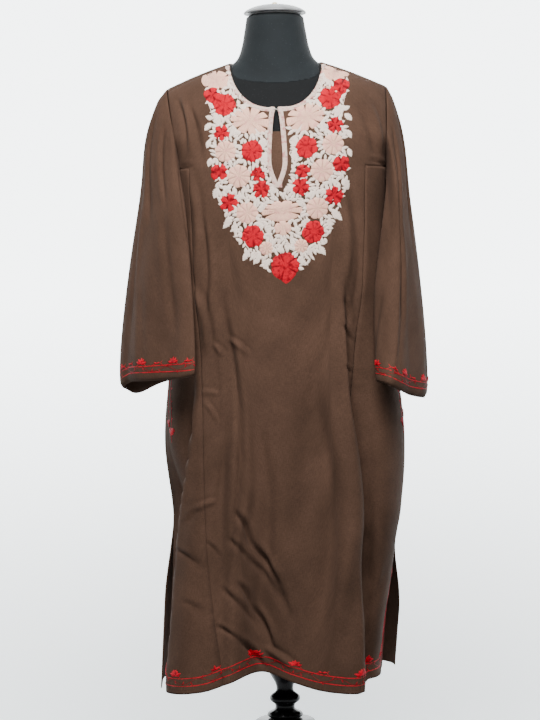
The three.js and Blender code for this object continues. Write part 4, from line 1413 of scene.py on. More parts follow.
# Each row is p, q, radius and turn, and each stands on both sides of the slit
ROSES = ((92, -150, 20.5, 10), (47.5, -67, 20, 40), (52.5, 81, 20.5, 0))
BLOSSOMS = (
    (112, -169, 13, 20), (99, -102, 12.5, 90), (106, -34, 13.5, 50), (91.5, 20, 14.5, 75),
    (39, -26, 11.2, 15), (34, 1, 14, 60),
)
PEONIES = ((93.5, -69.5, 19.5, 0), (72.7, -25, 21, 25), (61, 40, 20, 10), (30, 104, 13, 5))
# p, q, width, height, turn and clefts as (degrees, depth, width)
FANS = (
    (105, -194, 50, 33, 4, ((40, 0.3, 4), (95, 0.36, 4), (150, 0.3, 4), (250, 0.2, 5), (310, 0.2, 5))),
    (48.5, -119, 70, 47, 14, (
        (14, 0.4, 3), (48, 0.34, 3), (82, 0.42, 3), (118, 0.3, 3.5), (152, 0.44, 3),
        (200, 0.36, 3.5), (236, 0.48, 3), (272, 0.3, 4), (310, 0.42, 3), (340, 0.3, 3),
    )),
)
MIDDLE_FANS = (
    (0, 41, 72, 37, 0, (
        (20, 0.3, 4), (52, 0.2, 5), (90, 0.2, 5), (128, 0.2, 5), (160, 0.3, 4), (205, 0.5, 4), (335, 0.5, 4),
    )),
    (0, 71, 30, 27, 0, ((60, 0.22, 6), (120, 0.22, 6), (235, 0.35, 6), (305, 0.35, 6))),
)
# The lowest rose: its place, half sizes, and how far and how sharply it runs down to a point
LOW_ROSE = {"place": (1, 137), "size": (25.5, 24.5), "point": 0.3, "sharp": 0.34}
# Leaves beyond this p, by the yoke's edge, keep this share of their length
EDGE_LEAVES = {"p": 96, "share": 0.72}
# p, q of the stalk's end, length, width, direction in degrees anticlockwise from the right, bend
LEAVES = (
    (100, -116, 34, 15, 60, 8), (116, -120, 24, 12, -40, -6), (120, -92, 22, 11, -70, 4),
    (112, -128, 20, 10, 15, 4), (76, -172, 20, 6, 120, 3), (70, -160, 22, 6, 150, 5),
    (66, -146, 20, 7, 178, 3), (84, -178, 18, 6, 95, -2), (62, -134, 16, 6, 120, 2),
    (28, -146, 26, 9, 165, 6), (26, -88, 20, 15, -80, 4), (31, -96, 18, 12, 40, 5),
    (30, -44, 22, 15, 110, -4), (34, -38, 17, 10, -60, 5), (5, 6, 24, 16, 18, -5),
    (26, 24, 22, 11, -40, 5), (110, -8, 28, 15, -72, 5), (102, 0, 18, 10, -120, 4),
    (86, -8, 18, 9, -30, 4), (88, 44, 26, 14, -56, 5), (82, 56, 24, 10, -90, 3),
    (78, 30, 17, 9, 20, 5), (42, 20, 20, 10, 30, 4), (48, 60, 16, 9, -170, 4),
    (62, 106, 20, 12, -62, 4), (46, 106, 16, 8, -110, 3), (26, 122, 20, 13, -60, 4),
    (16, 112, 17, 9, 60, 4), (12, 86, 20, 8, -62, 5), (8, 96, 20, 8, -100, 3),
    (70, 4, 17, 8, -60, 4), (62, 14, 17, 9, 20, 4), (120, -60, 22, 11, -76, 5),
    (72, -98, 20, 9, 60, 4), (66, -104, 22, 9, -20, 5), (74, -50, 15, 9, 175, 3),
    (34, 60, 18, 9, -60, 4), (22, 66, 20, 9, -75, -4), (40, 118, 14, 8, 30, 3),
)
# Scrolls: p, q points of each stem's curve
STEMS = (
    ((118, -150), (110, -128), (94, -124), (76, -128), (64, -140)),
    ((66, -150), (72, -132), (76, -112), (72, -92), (62, -80)),
    ((24, -60), (20, -62), (18, -58), (21, -54), (26, -54)),
    ((26, -16), (22, -18), (20, -14), (23, -10), (28, -10)),
    ((112, -48), (98, -46), (88, -50), (80, -56)),
    ((84, 4), (76, 10), (70, 20), (66, 26)),
    ((36, 46), (38, 62), (34, 76), (24, 88)),
    ((74, 62), (70, 84), (60, 104), (44, 118), (30, 130)),
)
class Threadwork:
    """Raised stitching of one thread, gathered into one mesh with its stitch rows as UV in metres."""

    def __init__(self):
        self.bm = bmesh.new()
        self.uv = self.bm.loops.layers.uv.new("cut")
        self.tone = self.bm.verts.layers.float.new("tone")
        self.rise = settings("stitching").height / (1.5 * MM)

    def pad(self, place, centre, size, outline, height, turn, segments, groove, tone=0.5, inner=0):
        """A raised pad round a centre: outline gives its reach at each angle, and groove its furrows."""
        rings = (0, 0.3, 0.55, 0.75, 0.88, 0.96, 1.0)
        made = bmesh.ops.create_grid(self.bm, x_segments=segments, y_segments=len(rings) - 1, size=1)
        wide, tall = size
        reach = (wide + tall) / 2
        lean = math.radians(turn)
        places = {}
        for k, vert in enumerate(made["verts"]):
            j, i = divmod(k, segments + 1)
            rho, angle = rings[j], 2 * math.pi * (i % segments) / segments
            edge = outline(angle)
            x, y = rho * edge * wide * math.cos(angle), rho * edge * tall * math.sin(angle)
            dip = groove(angle) * min(1, max(0, rho - inner) * 1.6 / (1 - inner))
            p = centre[0] + x * math.cos(lean) - y * math.sin(lean)
            q = centre[1] - x * math.sin(lean) - y * math.cos(lean)
            # The tone is lower at the heart, for its deeper thread. It drops in the furrows: painted shade
            # there, with the darker thread that parts the petals.
            vert[self.tone] = tone + 0.25 * rho - 0.7 * dip
            vert.co = place(p, q, self.rise * height * (1 - rho**8) * (1 - 0.55 * dip) - 0.15)
            around = 2 * math.pi * i / segments * reach * 0.6
            places[vert] = (rho * reach * MM, around * MM)
        self.lay(made["verts"], places, place, centre)

    def lay(self, verts, places, place, middle):
        """Gives new faces their UV, and turns them to face away from the cloth."""
        faces = list({face for vert in verts for face in vert.link_faces})
        for face in faces:
            for loop in face.loops:
                loop[self.uv].uv = places[loop.vert]
            face.normal_update()
        outward = place(*middle, 1) - place(*middle, 0)
        if sum((face.normal * face.calc_area() for face in faces), Vector()).dot(outward) < 0:
            bmesh.ops.reverse_faces(self.bm, faces=faces)

    def strip(self, place, line, widths, height=1.0, across=4, tone=0.5, vein=0.0):
        """A raised strip along a line of p, q points, with a width at each of them."""
        count = len(line)
        made = bmesh.ops.create_grid(self.bm, x_segments=count - 1, y_segments=across, size=1)
        verts = made["verts"]
        line = np.array(line, float)
        ahead = np.gradient(line, axis=0)
        ahead /= np.maximum(1e-9, np.linalg.norm(ahead, axis=1, keepdims=True))
        run = np.concatenate([[0], np.cumsum(np.linalg.norm(np.diff(line, axis=0), axis=1))])
        places = {}
        for k, vert in enumerate(verts):
            j, i = divmod(k, count)
            v = 2 * j / across - 1
            p = line[i, 0] + ahead[i, 1] * v * widths[i] / 2
            q = line[i, 1] - ahead[i, 0] * v * widths[i] / 2
            end = min(1, 4 * i / (count - 1), 4 * (count - 1 - i) / (count - 1))
            rise = (1 - v**4) * (0.35 + 0.65 * end) * (1 - vein * bell(v / 0.3))
            places[vert] = (run[i] * MM, v * widths[i] / 2 * MM)
            # Painted shade: the tone drops towards the strip's edges, where it falls to the cloth.
            vert[self.tone] = tone + 0.2 - 0.5 * v**4
            vert.co = place(p, q, self.rise * height * rise - 0.15)
        self.lay(verts, places, place, line[count // 2])

    def leaf(self, place, start, length, width, direction, bend, teeth=0, height=1.2, tone=0.5, steps=22):
        """A leaf or petal from its stalk's end, with or without teeth along its edges."""
        t = np.linspace(0, 1, steps)
        angle = math.radians(direction) + np.radians(bend * 3) * (t - 0.2)
        step = length / (steps - 1)
        p = start[0] + np.concatenate([[0], np.cumsum(np.cos(angle[:-1]) * step)])
        q = start[1] - np.concatenate([[0], np.cumsum(np.sin(angle[:-1]) * step)])
        swell = np.sin(math.pi * np.clip(t, 0.02, 0.985) ** 0.85) ** 0.8
        if teeth:
            saw = 1 - (t * teeth) % 1
            swell = swell * (0.78 + 0.34 * saw)
        vein = 0.3 if width > 7 else 0
        self.strip(place, np.stack([p, q], 1), width * swell, height, tone=tone, vein=vein)

    def stem(self, place, points, width=2.2, height=0.9, steps=6, tone=0.5):
        """A stem that is thickest half way along its curve."""
        line = rounded(points, steps)
        t = np.linspace(0, 1, len(line))
        swell = 0.55 + 0.45 * np.sin(math.pi * np.clip(t, 0.03, 0.97))
        self.strip(place, line, width * swell, height, 2, tone)

    def finish(self, name, material):
        """Makes the gathered stitching one piece."""
        bmesh.ops.remove_doubles(self.bm, verts=self.bm.verts, dist=1e-6)
        piece = finish_mesh(name, self.bm)
        stand_for(piece, material, "cloth")
        return piece


def scallops(count, depth, power=1.0):
    """An outline of rounded lobes."""

    def outline(angle):
        return 1 - depth * (1 - abs(math.cos(count * angle / 2)) ** power)

    return outline


def furrows(count, width=0.16):
    """Furrows between the petals, where the lobes of the outline meet."""

    def groove(angle):
        share = (count * angle / (2 * math.pi) + 0.5) % 1 - 0.5
        return math.exp(-(((0.5 - abs(share)) / width) ** 2))

    return groove


def clefts(rows):
    """An outline of lobes parted by narrow clefts, and the furrows that run in from them."""

    def notch(angle, spread):
        deep = 0
        for degrees, depth, width in rows:
            off = (math.degrees(angle) - degrees + 180) % 360 - 180
            deep = max(deep, depth * math.exp(-((off / (width * spread)) ** 2)))
        return deep

    return (lambda angle: 1 - notch(angle, 1.0)), (lambda angle: min(1, 1.2 * notch(angle, 1.1)))


class Yoke:
    """Places points of the yoke's layout on the front's cloth, along the lines of sight from the front."""

    def __init__(self, front):
        bm = bmesh.new()
        bm.from_mesh(front.data)
        self.tree = BVHTree.FromBMesh(bm)
        bm.free()
        self.lift = settings("cloth").wall / MM / 2

    def __call__(self, p, q, rise):
        target = Vector((YOKE["x"] + p + YOKE["lean"] * q, 0, YOKE["z"] - q + YOKE["tilt"] * p)) * MM
        eye = Vector(EYE) * MM
        ray = (target - eye).normalized()
        spot, normal, _, _ = self.tree.ray_cast(eye, ray)
        if spot is None:
            near = eye + ray * ((-0.12 - eye.y) / ray.y)
            spot, normal, _, _ = self.tree.find_nearest(near)
        if normal.dot(ray) > 0:
            normal = -normal
        return spot + normal * (self.lift + rise) * MM


def in_yoke(p, q, margin):
    """Whether a place lies in the worked ground: inside its edge, below the neckline, clear of the slit."""
    if q < YOKE["top"] or q > YOKE["foot"] or abs(p) > along(YOKE_EDGE, q, "reach") - margin:
        return False
    x = YOKE["x"] + p + YOKE["lean"] * q
    z = YOKE["z"] - q + YOKE["tilt"] * p
    if abs(x) < NECK_HALF + 6 and z > neck_height(x, FRONT_NECK) - 9 - margin:
        return False
    slit = along(SLIT, z, "half") if z > SLIT_FOOT - 8 else 0
    return not (z > SLIT_FOOT - 10 and abs(p) < slit + 9 + margin)


class PHERAN_OT_yoke(Tool, bpy.types.Operator):
    """Works the yoke in chain stitch: roses, blossoms, peonies, leaves and scrolls"""

    bl_idname = "pheran.yoke"
    bl_label = "Yoke stitching"

    def execute(self, context):
        place = Yoke(bpy.data.objects["front_cloth"])
        red, cream, pale = Threadwork(), Threadwork(), Threadwork()
        taken = []
        for side in (-1, 1):
            for p, q, radius, turn in ROSES:
                red.pad(
                    place, (side * p, q), (radius, radius), scallops(6, 0.09), 1.9, side * turn, 72,
                    furrows(6, 0.09), 0.6,
                )
                taken.append((side * p, q, radius, radius))
            for k, (p, q, radius, turn) in enumerate(BLOSSOMS):
                petals = 4 + k % 2
                red.pad(
                    place, (side * p, q), (radius * 1.2, radius * 1.2), scallops(petals, 0.13, 0.9), 1.6,
                    side * turn, 48, furrows(petals),
                )
                taken.append((side * p, q, radius * 0.85, radius * 0.85))
            for p, q, radius, turn in PEONIES:
                cream.pad(
                    place, (side * p, q), (radius, radius * 0.97), scallops(9, 0.08), 1.8, side * turn, 72,
                    furrows(9, 0.12),
                )
                taken.append((side * p, q, radius, radius))
            for p, q, wide, tall, turn, rows in FANS:
                rows = rows if side > 0 else tuple((180 - a, d, w) for a, d, w in rows)
                outline, groove = clefts(rows)
                cream.pad(
                    place, (side * p, q), (wide / 2, tall / 2), outline, 1.7, side * turn, 200, groove,
                    inner=0.4,
                )
                taken.append((side * p, q, wide / 2, tall / 2))
            for p, q, length, width, direction, bend in LEAVES:
                lean = direction if side > 0 else 180 - direction
                length *= EDGE_LEAVES["share"] if p > EDGE_LEAVES["p"] else 1
                pale.leaf(place, (side * p, q), length, width, lean, side * bend, 5 if width > 9 else 0)
            for line in STEMS:
                pale.stem(place, [(side * p, q) for p, q in line])
        for p, q, wide, tall, turn, rows in MIDDLE_FANS:
            outline, groove = clefts(rows)
            cream.pad(place, (p, q), (wide / 2, tall / 2), outline, 1.7, turn, 180, groove, inner=0.4)
            taken.append((p, q, wide / 2, tall / 2))
        lobes = scallops(5, 0.06)

        def pointed(angle):
            off = (angle - 1.5 * math.pi + math.pi) % (2 * math.pi) - math.pi
            tip = math.exp(-abs(off / LOW_ROSE["sharp"]) ** 1.3)
            return lobes(angle) * (1 + LOW_ROSE["point"] * tip)

        red.pad(place, LOW_ROSE["place"], LOW_ROSE["size"], pointed, 2.0, 0, 80, furrows(5, 0.1), 0.6)
        taken.append((1, 138, 25, 27))
        self.fill(place, pale, taken)
        red.finish("yoke_red_flowers", red_thread())
        cream.finish("yoke_cream_flowers", cream_thread())
        pale.finish("yoke_leaves", pale_thread())
        return {"FINISHED"}

    def fill(self, place, pale, taken):
        """Small leaves on the ground that the flowers leave, each turned away from the nearest flower."""
        chance = np.random.default_rng(settings("stitching").seed)
        spacing = settings("stitching").spacing / MM
        spots = []
        for _ in range(9000):
            p, q = chance.uniform(-YOKE["half"], YOKE["half"]), chance.uniform(YOKE["top"], YOKE["foot"])
            if not in_yoke(p, q, 3):
                continue
            if any(math.hypot((p - a) / (w + 0.5), (q - b) / (h + 0.5)) < 1 for a, b, w, h in taken):
                continue
            if any(math.hypot(p - a, q - b) < spacing for a, b in spots):
                continue
            spots.append((p, q))
        for p, q in spots:
            a, b, _, _ = min(taken, key=lambda t: math.hypot(p - t[0], q - t[1]) - t[2])
            away = math.degrees(math.atan2(-(q - b), p - a)) + chance.uniform(-50, 50)
            length = chance.uniform(9.5, 14)
            along_p, along_q = math.cos(math.radians(away)), math.sin(math.radians(away))
            start = (p - along_p * length / 2, q + along_q * length / 2)
            tone = chance.uniform(0.3, 0.7)
            width, bend = chance.uniform(5.4, 7.4), chance.uniform(-9, 9)
            pale.leaf(place, start, length, width, away, bend, 0, 1.0, tone, 9)


def stitch_height(thread, row=1.25, stitch=2.3):
    """The relief of chain stitch: rows of links, each link's two strands leaning together."""
    parts = thread.add("ShaderNodeSeparateXYZ", Vector=thread.place())
    across = thread.sum(parts.outputs["Y"], row * MM, "DIVIDE")
    fold = thread.sum(across, 0.5, "PINGPONG")
    run = thread.sum(parts.outputs["X"], stitch * MM, "DIVIDE")
    lean = thread.sum(run, thread.sum(fold, 1.1, "MULTIPLY"))
    wave = thread.sum(thread.sum(lean, 2 * math.pi, "MULTIPLY"), 0, "SINE")
    strand = thread.sum(thread.sum(thread.sum(fold, 4 * math.pi, "MULTIPLY"), 0, "COSINE"), -0.5, "MULTIPLY")
    return thread.sum(thread.sum(wave, 0.3, "MULTIPLY"), thread.sum(strand, 0.5, "MULTIPLY"))


def thread_material(name, light, dark, fleck, rough=0.62):
    """Thread in chain stitch: its colour varies along the rows, with painted shade between the rows, and,
    through its tone, painted shade and darker parting thread in the furrows.
    """
    thread = Nodes(name, light, rough)
    height = stitch_height(thread)
    tone = thread.add("ShaderNodeAttribute")
    tone.attribute_name = "tone"
    rows = thread.place(scale=(240, 900, 1))
    streak = thread.add("ShaderNodeTexNoise", Vector=rows, Scale=1.0, Detail=3.0)
    patch = thread.add("ShaderNodeTexNoise", Vector=thread.place(uv=False), Scale=160.0, Detail=4.0)
    share = thread.sum(thread.sum(streak.outputs["Fac"], 0.9, "MULTIPLY"), tone.outputs["Fac"])
    color = thread.ramp(thread.sum(share, -0.35), (0.3, dark), (0.6, light))
    spots = thread.ramp(patch.outputs["Fac"], (0.5, (0, 0, 0)), (0.66, (1, 1, 1)))
    mixed = thread.blend(spots, color, fleck)
    # Painted shade: the colour is darkened where the stitch relief is low, between the rows and between a
    # link's strands.
    shade = thread.ramp(height, (0.0, (0.62, 0.62, 0.62)), (0.55, (1, 1, 1)))
    thread.join(thread.blend(1.0, mixed, shade, "MULTIPLY"), thread.shader.inputs["Base Color"])
    thread.join(thread.bump(height, 0.0005, 0.8), thread.shader.inputs["Normal"])
    thread.shader.inputs["Specular IOR Level"].default_value = 0.12
    return thread.material


def red_thread():
    red = settings("stitching").red
    return thread_material("red_thread", red, shaded(red, 0.24), shaded(red, 0.42))


def cream_thread():
    cream = settings("stitching").cream
    return thread_material("cream_thread", cream, (0.55, 0.29, 0.22), (0.9, 0.44, 0.36))


def pale_thread():
    return thread_material("pale_thread", settings("stitching").pale, (0.2, 0.14, 0.1), (0.9, 0.7, 0.6))


class EdgeRun:
    """Places points by how far they lie along a cloth edge, p, and in from it, which is q below zero."""

    def __init__(self, sheet, edge):
        self.sheet = sheet
        self.edge = edge
        self.lift = settings("cloth").wall / MM / 2
        if edge == "foot":
            self.run = sheet.across[-1] - sheet.across[-1, sheet.columns // 2]
        else:
            column = 0 if edge == "left" else sheet.columns - 1
            self.run = (sheet.down[-1, column] - sheet.down[:, column])[::-1]

    def __call__(self, p, q, rise):
        sheet, inward = self.sheet, max(0, -q)
        if self.edge == "foot":
            if sheet.closed:
                length = self.run[-1] - self.run[0]
                p = (p - self.run[0]) % length + self.run[0]
            column = np.interp(p, self.run, np.arange(sheet.columns))
            j = min(int(column), sheet.columns - 2)
            up = (sheet.down[-1, j] - sheet.down[:, j])[::-1]
            row = sheet.rows - 1 - np.interp(inward, up, np.arange(sheet.rows))
        else:
            row = sheet.rows - 1 - np.interp(p, self.run, np.arange(sheet.rows))
            i = min(int(round(row)), sheet.rows - 1)
            if self.edge == "left":
                column = np.interp(inward, sheet.across[i], np.arange(sheet.columns))
            else:
                away = (sheet.across[i, -1] - sheet.across[i])[::-1]
                column = sheet.columns - 1 - np.interp(inward, away, np.arange(sheet.columns))
        point, normal = sheet.at(row, column)
        return Vector(point + normal * (self.lift + rise)) * MM


def sprig(work, place, p, q, size, petals, chance, turn=90):
    """A small open flower of narrow petals that spread from one point."""
    spread = 150 / max(1, petals - 1)
    for k in range(petals):
        direction = turn - 75 + spread * k + chance.uniform(-6, 6)
        length = size * (1.0 if k in (0, petals - 1) else 0.86) * chance.uniform(0.9, 1.1)
        tone = chance.uniform(0.25, 0.85)
        work.leaf(place, (p, q), length, size * 0.46, direction, chance.uniform(-6, 6), 0, 1.5, tone, 10)


# Along a border: one wave of its stem, the distance between its small leaves, and how far the stem sways
VINE = {"wave": 54, "leaves": 18, "sway": 0.33}


def vine_border(work, place, start, end, lines, flowers, seed):
    """Two lines of chain stitch with a waving stem between them, and flowers and buds standing above."""
    chance = np.random.default_rng(seed)
    low, high = lines
    length = abs(end - start)
    count = max(6, int(length / 7))
    for at in lines:
        p = np.linspace(start, end, count)
        q = -(at + 0.5 * np.sin(p / 31 + seed + at))
        work.strip(place, np.stack([p, q], 1), np.full(count, 2.1), 0.9, 2, 0.5)
    steps = max(12, int(length / 4))
    p = np.linspace(start, end, steps)
    sway = (high - low) * VINE["sway"]
    wave = sway * np.sin(p * 2 * math.pi / VINE["wave"] + seed)
    work.strip(place, np.stack([p, -((low + high) / 2 + wave)], 1), np.full(steps, 1.3), 0.7, 2, 0.1)
    for k in range(int(length / VINE["leaves"])):
        at = min(start, end) + VINE["leaves"] * (k + 0.5) + chance.uniform(-3, 3)
        side = 1 if k % 2 else -1
        middle = (low + high) / 2 + sway * math.sin(at * 2 * math.pi / VINE["wave"] + seed)
        work.leaf(place, (at, -middle), (high - low) * 0.5, 2.8, side * 60, 5, 0, 0.9, 0.15, 8)
    for at, size, petals in flowers:
        p = start + (end - start) * at
        work.stem(place, [(p - 12, -high), (p - 5, -high - 3), (p, -high - 4.5)], 1.6, 0.8, 4)
        work.stem(place, [(p + 13, -high), (p + 8, -high - 5), (p + 11, -high - 9)], 1.4, 0.8, 4)
        sprig(work, place, p, -high - 4, size, petals, chance)


# Flowers of the borders: share of the border's length, size and number of petals
HEM_FLOWERS = (
    (0.02, 7, 2), (0.075, 14, 6), (0.2, 9, 3), (0.33, 15, 6), (0.46, 12, 5), (0.535, 7, 2), (0.64, 14, 6),
    (0.74, 7, 2), (0.82, 15, 6), (0.905, 9, 3), (0.97, 12, 5),
)
CUFF_FLOWERS = (
    (0.03, 9, 3), (0.11, 6, 2), (0.2, 12, 5), (0.29, 6, 2), (0.38, 12, 5), (0.46, 7, 3), (0.56, 12, 5),
    (0.66, 6, 2), (0.75, 12, 5), (0.84, 7, 3), (0.93, 12, 5),
)
VENT_FLOWERS = ((0.1, 12, 5), (0.3, 13, 5), (0.45, 9, 3), (0.62, 13, 5), (0.82, 9, 3))
# The pocket's two lines of stitching: heights from the hem, and how far in from the cloth's edge they run
POCKET = {"top": 560, "near": 24, "near_foot": 470, "far": 42, "far_foot": 456, "tail": 430}


def pocket_stitching(work, place, seed):
    """Two lines of stitching beside the pocket's opening, each ending in a flower."""
    chance = np.random.default_rng(seed)
    for side, line, size in ((1, "near", 12), (-1, "far", 14)):
        inward, foot = POCKET[line], POCKET[f"{line}_foot"]
        p = np.linspace(POCKET["top"], foot, 30)
        q = -inward - 1.6 * np.sin(p / 11 + seed)
        work.strip(place, np.stack([p, q], 1), np.full(30, 1.9), 0.9, 2, 0.45)
        for k in range(5):
            at = foot + 14 + 17 * k + chance.uniform(-3, 3)
            work.leaf(place, (at, -inward), 7, 2.8, 180 + side * (90 + 30), 5, 0, 0.9, 0.4, 8)
        sprig(work, place, foot, -inward, size, 5, chance, 180)
        sprig(work, place, foot - 7, -inward - 3 * side, size * 0.6, 3, chance, 200)
    p = np.linspace(POCKET["far_foot"], POCKET["tail"], 10)
    q = -POCKET["far"] + 0.12 * (POCKET["far_foot"] - p)
    work.strip(place, np.stack([p, q], 1), np.full(10, 1.7), 0.9, 2, 0.4)


class PHERAN_OT_borders(Tool, bpy.types.Operator):
    """Works the red vine borders along the hem, the side slits, the cuffs and the pocket openings"""

    bl_idname = "pheran.borders"
    bl_label = "Red borders"

    def execute(self, context):
        red = red_thread()
        for face, seed in (("front", 3), ("back", 8)):
            sheet = SHEETS[face]
            hem = Threadwork()
            foot = EdgeRun(sheet, "foot")
            vine_border(hem, foot, foot.run[0] + 16, foot.run[-1] - 16, (14, 27), HEM_FLOWERS, seed)
            for k, edge in enumerate(("left", "right")):
                run = EdgeRun(sheet, edge)
                top = VENT[edge] - HEM
                vine_border(hem, run, 15, top - 22, (10, 20), VENT_FLOWERS, seed + k)
                if face == "front":
                    pocket_stitching(hem, run, seed + 5 + k)
            hem.finish(f"{face}_borders", red)
        for k, name in enumerate(("left", "right")):
            run = EdgeRun(SHEETS[f"sleeve_{name}"], "foot")
            cuffs = Threadwork()
            vine_border(cuffs, run, run.run[0], run.run[-1], (15, 26), CUFF_FLOWERS, 21 + k)
            cuffs.finish(f"cuff_border_{name}", red)
        return {"FINISHED"}


class PHERAN_OT_neckband(Tool, bpy.types.Operator):
    """Works the pale band round the neckline and down both edges of the slit"""

    bl_idname = "pheran.neckband"
    bl_label = "Neck and slit band"

    def execute(self, context):
        band = Threadwork()
        front, back = SHEETS["front"], SHEETS["back"]
        middle = front.columns // 2 - 1
        width = 8.0
        foot_row = ARM_ROWS + SLIT_ROWS
        for side in (-1, 1):
            first = middle if side < 0 else middle + 1
            columns = first + side * np.linspace(0, NECK_FINE, 60)
            self.edge_band(band, front, [(0, c) for c in columns], width, 0.0, "down", side)
            z = front.points[:, first, 2]
            rows = np.interp(np.linspace(z[0], z[foot_row] - 9, 48), z[::-1], np.arange(len(z))[::-1])
            self.edge_band(band, front, [(r, first) for r in rows], width, 0.12, "across", side)
        columns = back.columns // 2 + np.linspace(-NECK_FINE, NECK_FINE, 90)
        self.edge_band(band, back, [(LEAD_ROWS, c) for c in columns], width, 0.0, "down", 1)
        band.finish("neck_band", band_thread())
        return {"FINISHED"}

    def edge_band(self, band, sheet, line, width, lift, inward, side):
        """A band that runs along a line of rows and columns, and reaches in from it."""
        across = 4
        half_wall = settings("cloth").wall / MM / 2
        made = bmesh.ops.create_grid(band.bm, x_segments=len(line) - 1, y_segments=across, size=1)
        spots = np.array([sheet.at(*spot)[0] for spot in line])
        normals = np.array([sheet.at(*spot)[1] for spot in line])
        ahead = np.gradient(spots, axis=0)
        inner = np.cross(normals, ahead)
        inner /= np.linalg.norm(inner, axis=1, keepdims=True)
        guide = np.array([0, 0, -1.0]) if inward == "down" else np.array([side, 0, 0])
        inner *= np.sign((inner * guide).sum(1, keepdims=True))
        run = np.concatenate([[0], np.cumsum(np.linalg.norm(np.diff(spots, axis=0), axis=1))])
        places = {}
        for k, vert in enumerate(made["verts"]):
            j, i = divmod(k, len(line))
            v = j / across
            rise = lift + 1.1 * (1 - (2 * v - 1) ** 4) - 0.15
            vert.co = Vector(spots[i] + inner[i] * (v * width) + normals[i] * (half_wall + rise)) * MM
            vert[band.tone] = 0.5
            places[vert] = (run[i] * MM, v * width * MM)
        band.lay(made["verts"], places, lambda p, q, rise: Vector(normals[len(line) // 2]) * rise, (0, 0))


def band_thread():
    return thread_material("band_thread", settings("stitching").band, (0.62, 0.4, 0.33), (0.62, 0.26, 0.24))


# The studio's floor, bend and wall, in metres
SWEEP = {"half": 4, "front": -3.5, "back": 0.9, "bend": 0.6, "top": 4.2}
# The photo's view: place in metres, lens in millimetres, and turns in degrees
CAMERA = {"place": (0, -3.6, 0.98), "lens": 102.85, "aside": 0.278, "down": 1.56, "roll": -0.86}


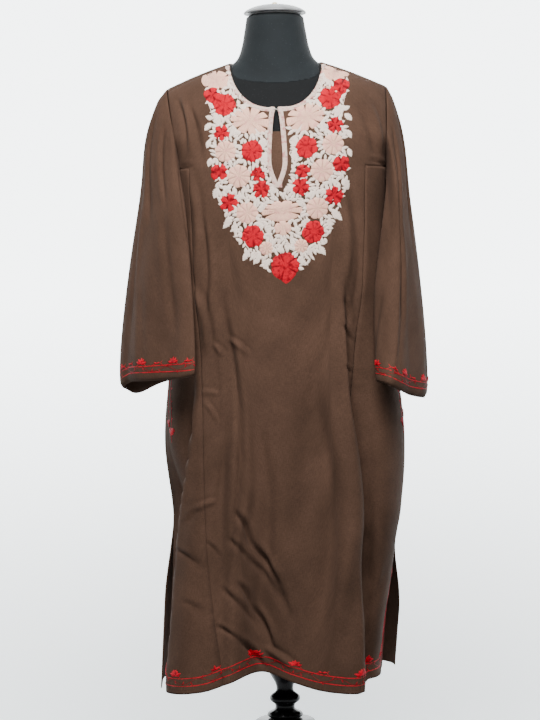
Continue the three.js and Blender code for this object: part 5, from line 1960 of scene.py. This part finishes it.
class PHERAN_OT_stage(Tool, bpy.types.Operator):
    """Sets the pale wall, the floor with painted shade near the object, the soft lights and the camera"""

    bl_idname = "pheran.stage"
    bl_label = "Studio"

    def execute(self, context):
        bm = bmesh.new()
        back, bend = SWEEP["back"], SWEEP["bend"]
        profile = [(SWEEP["front"], 0), (back, 0)]
        for angle in np.radians(np.arange(6, 91, 6)):
            profile.append((back + bend * math.sin(angle), bend - bend * math.cos(angle)))
        profile.append((back + bend, SWEEP["top"]))
        verts = [bm.verts.new((-SWEEP["half"], y, z)) for y, z in profile]
        edges = [bm.edges.new(pair) for pair in zip(verts, verts[1:])]
        out = bmesh.ops.extrude_edge_only(bm, edges=edges)
        moved = [v for v in out["geom"] if isinstance(v, bmesh.types.BMVert)]
        bmesh.ops.translate(bm, verts=moved, vec=(2 * SWEEP["half"], 0, 0))
        bmesh.ops.recalc_face_normals(bm, faces=bm.faces)
        if sum((f.normal.z for f in bm.faces)) < 0:
            bmesh.ops.reverse_faces(bm, faces=bm.faces)
        mesh = bpy.data.meshes.new("studio_sweep")
        for face in bm.faces:
            face.smooth = True
        bm.to_mesh(mesh)
        bm.free()
        sweep = bpy.data.objects.new("studio_sweep", mesh)
        context.scene.collection.objects.link(sweep)
        paper = Nodes("studio_paper", (0.86, 0.89, 0.9), 0.9)
        parts = paper.add("ShaderNodeSeparateXYZ", Vector=paper.place(uv=False))
        # Painted shade on the floor: it is darker near and in front of the object, which cuts the light it
        # throws back up.
        floor_dimmed_for_bounce = paper.ramp(parts.outputs["Y"], (0.1, (0.3, 0.31, 0.32)), (0.5, (0.86, 0.89, 0.9)))
        paper.join(floor_dimmed_for_bounce, paper.shader.inputs["Base Color"])
        glow = paper.ramp(parts.outputs["Z"], (0.0, (0.1, 0.1, 0.1)), (1.0, (1, 1, 1)))
        far = paper.ramp(parts.outputs["Y"], (0.3, (0, 0, 0)), (0.9, (1, 1, 1)))
        # The far wall glows, and the floor near the object doesn't.
        glow = paper.sum(paper.sum(glow, far, "MULTIPLY"), settings("studio").wall, "MULTIPLY")
        paper.join(glow, paper.shader.inputs["Emission Strength"])
        paper.shader.inputs["Emission Color"].default_value = (0.94, 0.985, 1, 1)
        mesh.materials.append(paper.material)
        self.light("key", (-0.08, -1.55, 2.45), (0, 0, 1.2), 1.0, settings("studio").key)
        self.light("fill", (2.2, -2.6, 2.2), (0, 0, 1.1), 2.0, settings("studio").fill)
        world = bpy.data.worlds.new("studio_air")
        world.use_nodes = True
        sky = world.node_tree.nodes["Background"]
        sky.inputs["Color"].default_value = (0.9, 0.95, 1.0, 1)
        sky.inputs["Strength"].default_value = settings("studio").air
        context.scene.world = world
        camera = bpy.data.cameras.new("photo_view")
        camera.lens = CAMERA["lens"]
        camera.sensor_width = 36
        camera.dof.use_dof = False
        view = bpy.data.objects.new("photo_view", camera)
        context.scene.collection.objects.link(view)
        aside = Matrix.Rotation(math.radians(CAMERA["aside"]), 4, "Z")
        down = Matrix.Rotation(math.radians(90 - CAMERA["down"]), 4, "X")
        roll = Matrix.Rotation(math.radians(CAMERA["roll"]), 4, "Z")
        view.matrix_world = Matrix.Translation(CAMERA["place"]) @ aside @ down @ roll
        context.scene.camera = view
        return {"FINISHED"}

    def light(self, name, place, target, size, power):
        """A soft square light that points at its target."""
        lamp = bpy.data.lights.new(name, "AREA")
        lamp.size = size
        lamp.energy = power
        lamp_object = bpy.data.objects.new(name, lamp)
        bpy.context.scene.collection.objects.link(lamp_object)
        lamp_object.location = place
        aim = Vector(target) - Vector(place)
        lamp_object.rotation_euler = aim.to_track_quat("-Z", "Y").to_euler()


OPERATORS = (
    PHERAN_OT_stage,
    PHERAN_OT_body,
    PHERAN_OT_sleeves,
    PHERAN_OT_underlay,
    PHERAN_OT_form,
    PHERAN_OT_stand,
    PHERAN_OT_hook,
    PHERAN_OT_yoke,
    PHERAN_OT_neckband,
    PHERAN_OT_borders,
    PHERAN_OT_cuts,
)


class PHERAN_PT_panel(bpy.types.Panel):
    """Lists the steps that make the pheran"""

    bl_idname = "PHERAN_PT_panel"
    bl_label = "Pheran"
    bl_space_type = "VIEW_3D"
    bl_region_type = "UI"
    bl_category = "Pheran"

    def draw(self, context):
        for name, group in GROUPS.items():
            box = self.layout.box()
            for key in group.__annotations__:
                box.prop(settings(name), key)
        for operator in OPERATORS:
            self.layout.operator(operator.bl_idname)


CLASSES = (*GROUPS.values(), *OPERATORS, PHERAN_PT_panel)


def register():
    for cls in CLASSES:
        bpy.utils.register_class(cls)
    for name, group in GROUPS.items():
        setattr(bpy.types.Scene, f"pheran_{name}", PointerProperty(type=group))


def unregister():
    for name in GROUPS:
        delattr(bpy.types.Scene, f"pheran_{name}")
    for cls in reversed(CLASSES):
        bpy.utils.unregister_class(cls)


def main():
    """Registers the tools, then makes every piece by running each step."""
    register()
    for operator in OPERATORS:
        group, name = operator.bl_idname.split(".")
        getattr(getattr(bpy.ops, group), name)()


if __name__ == "__main__":
    main()
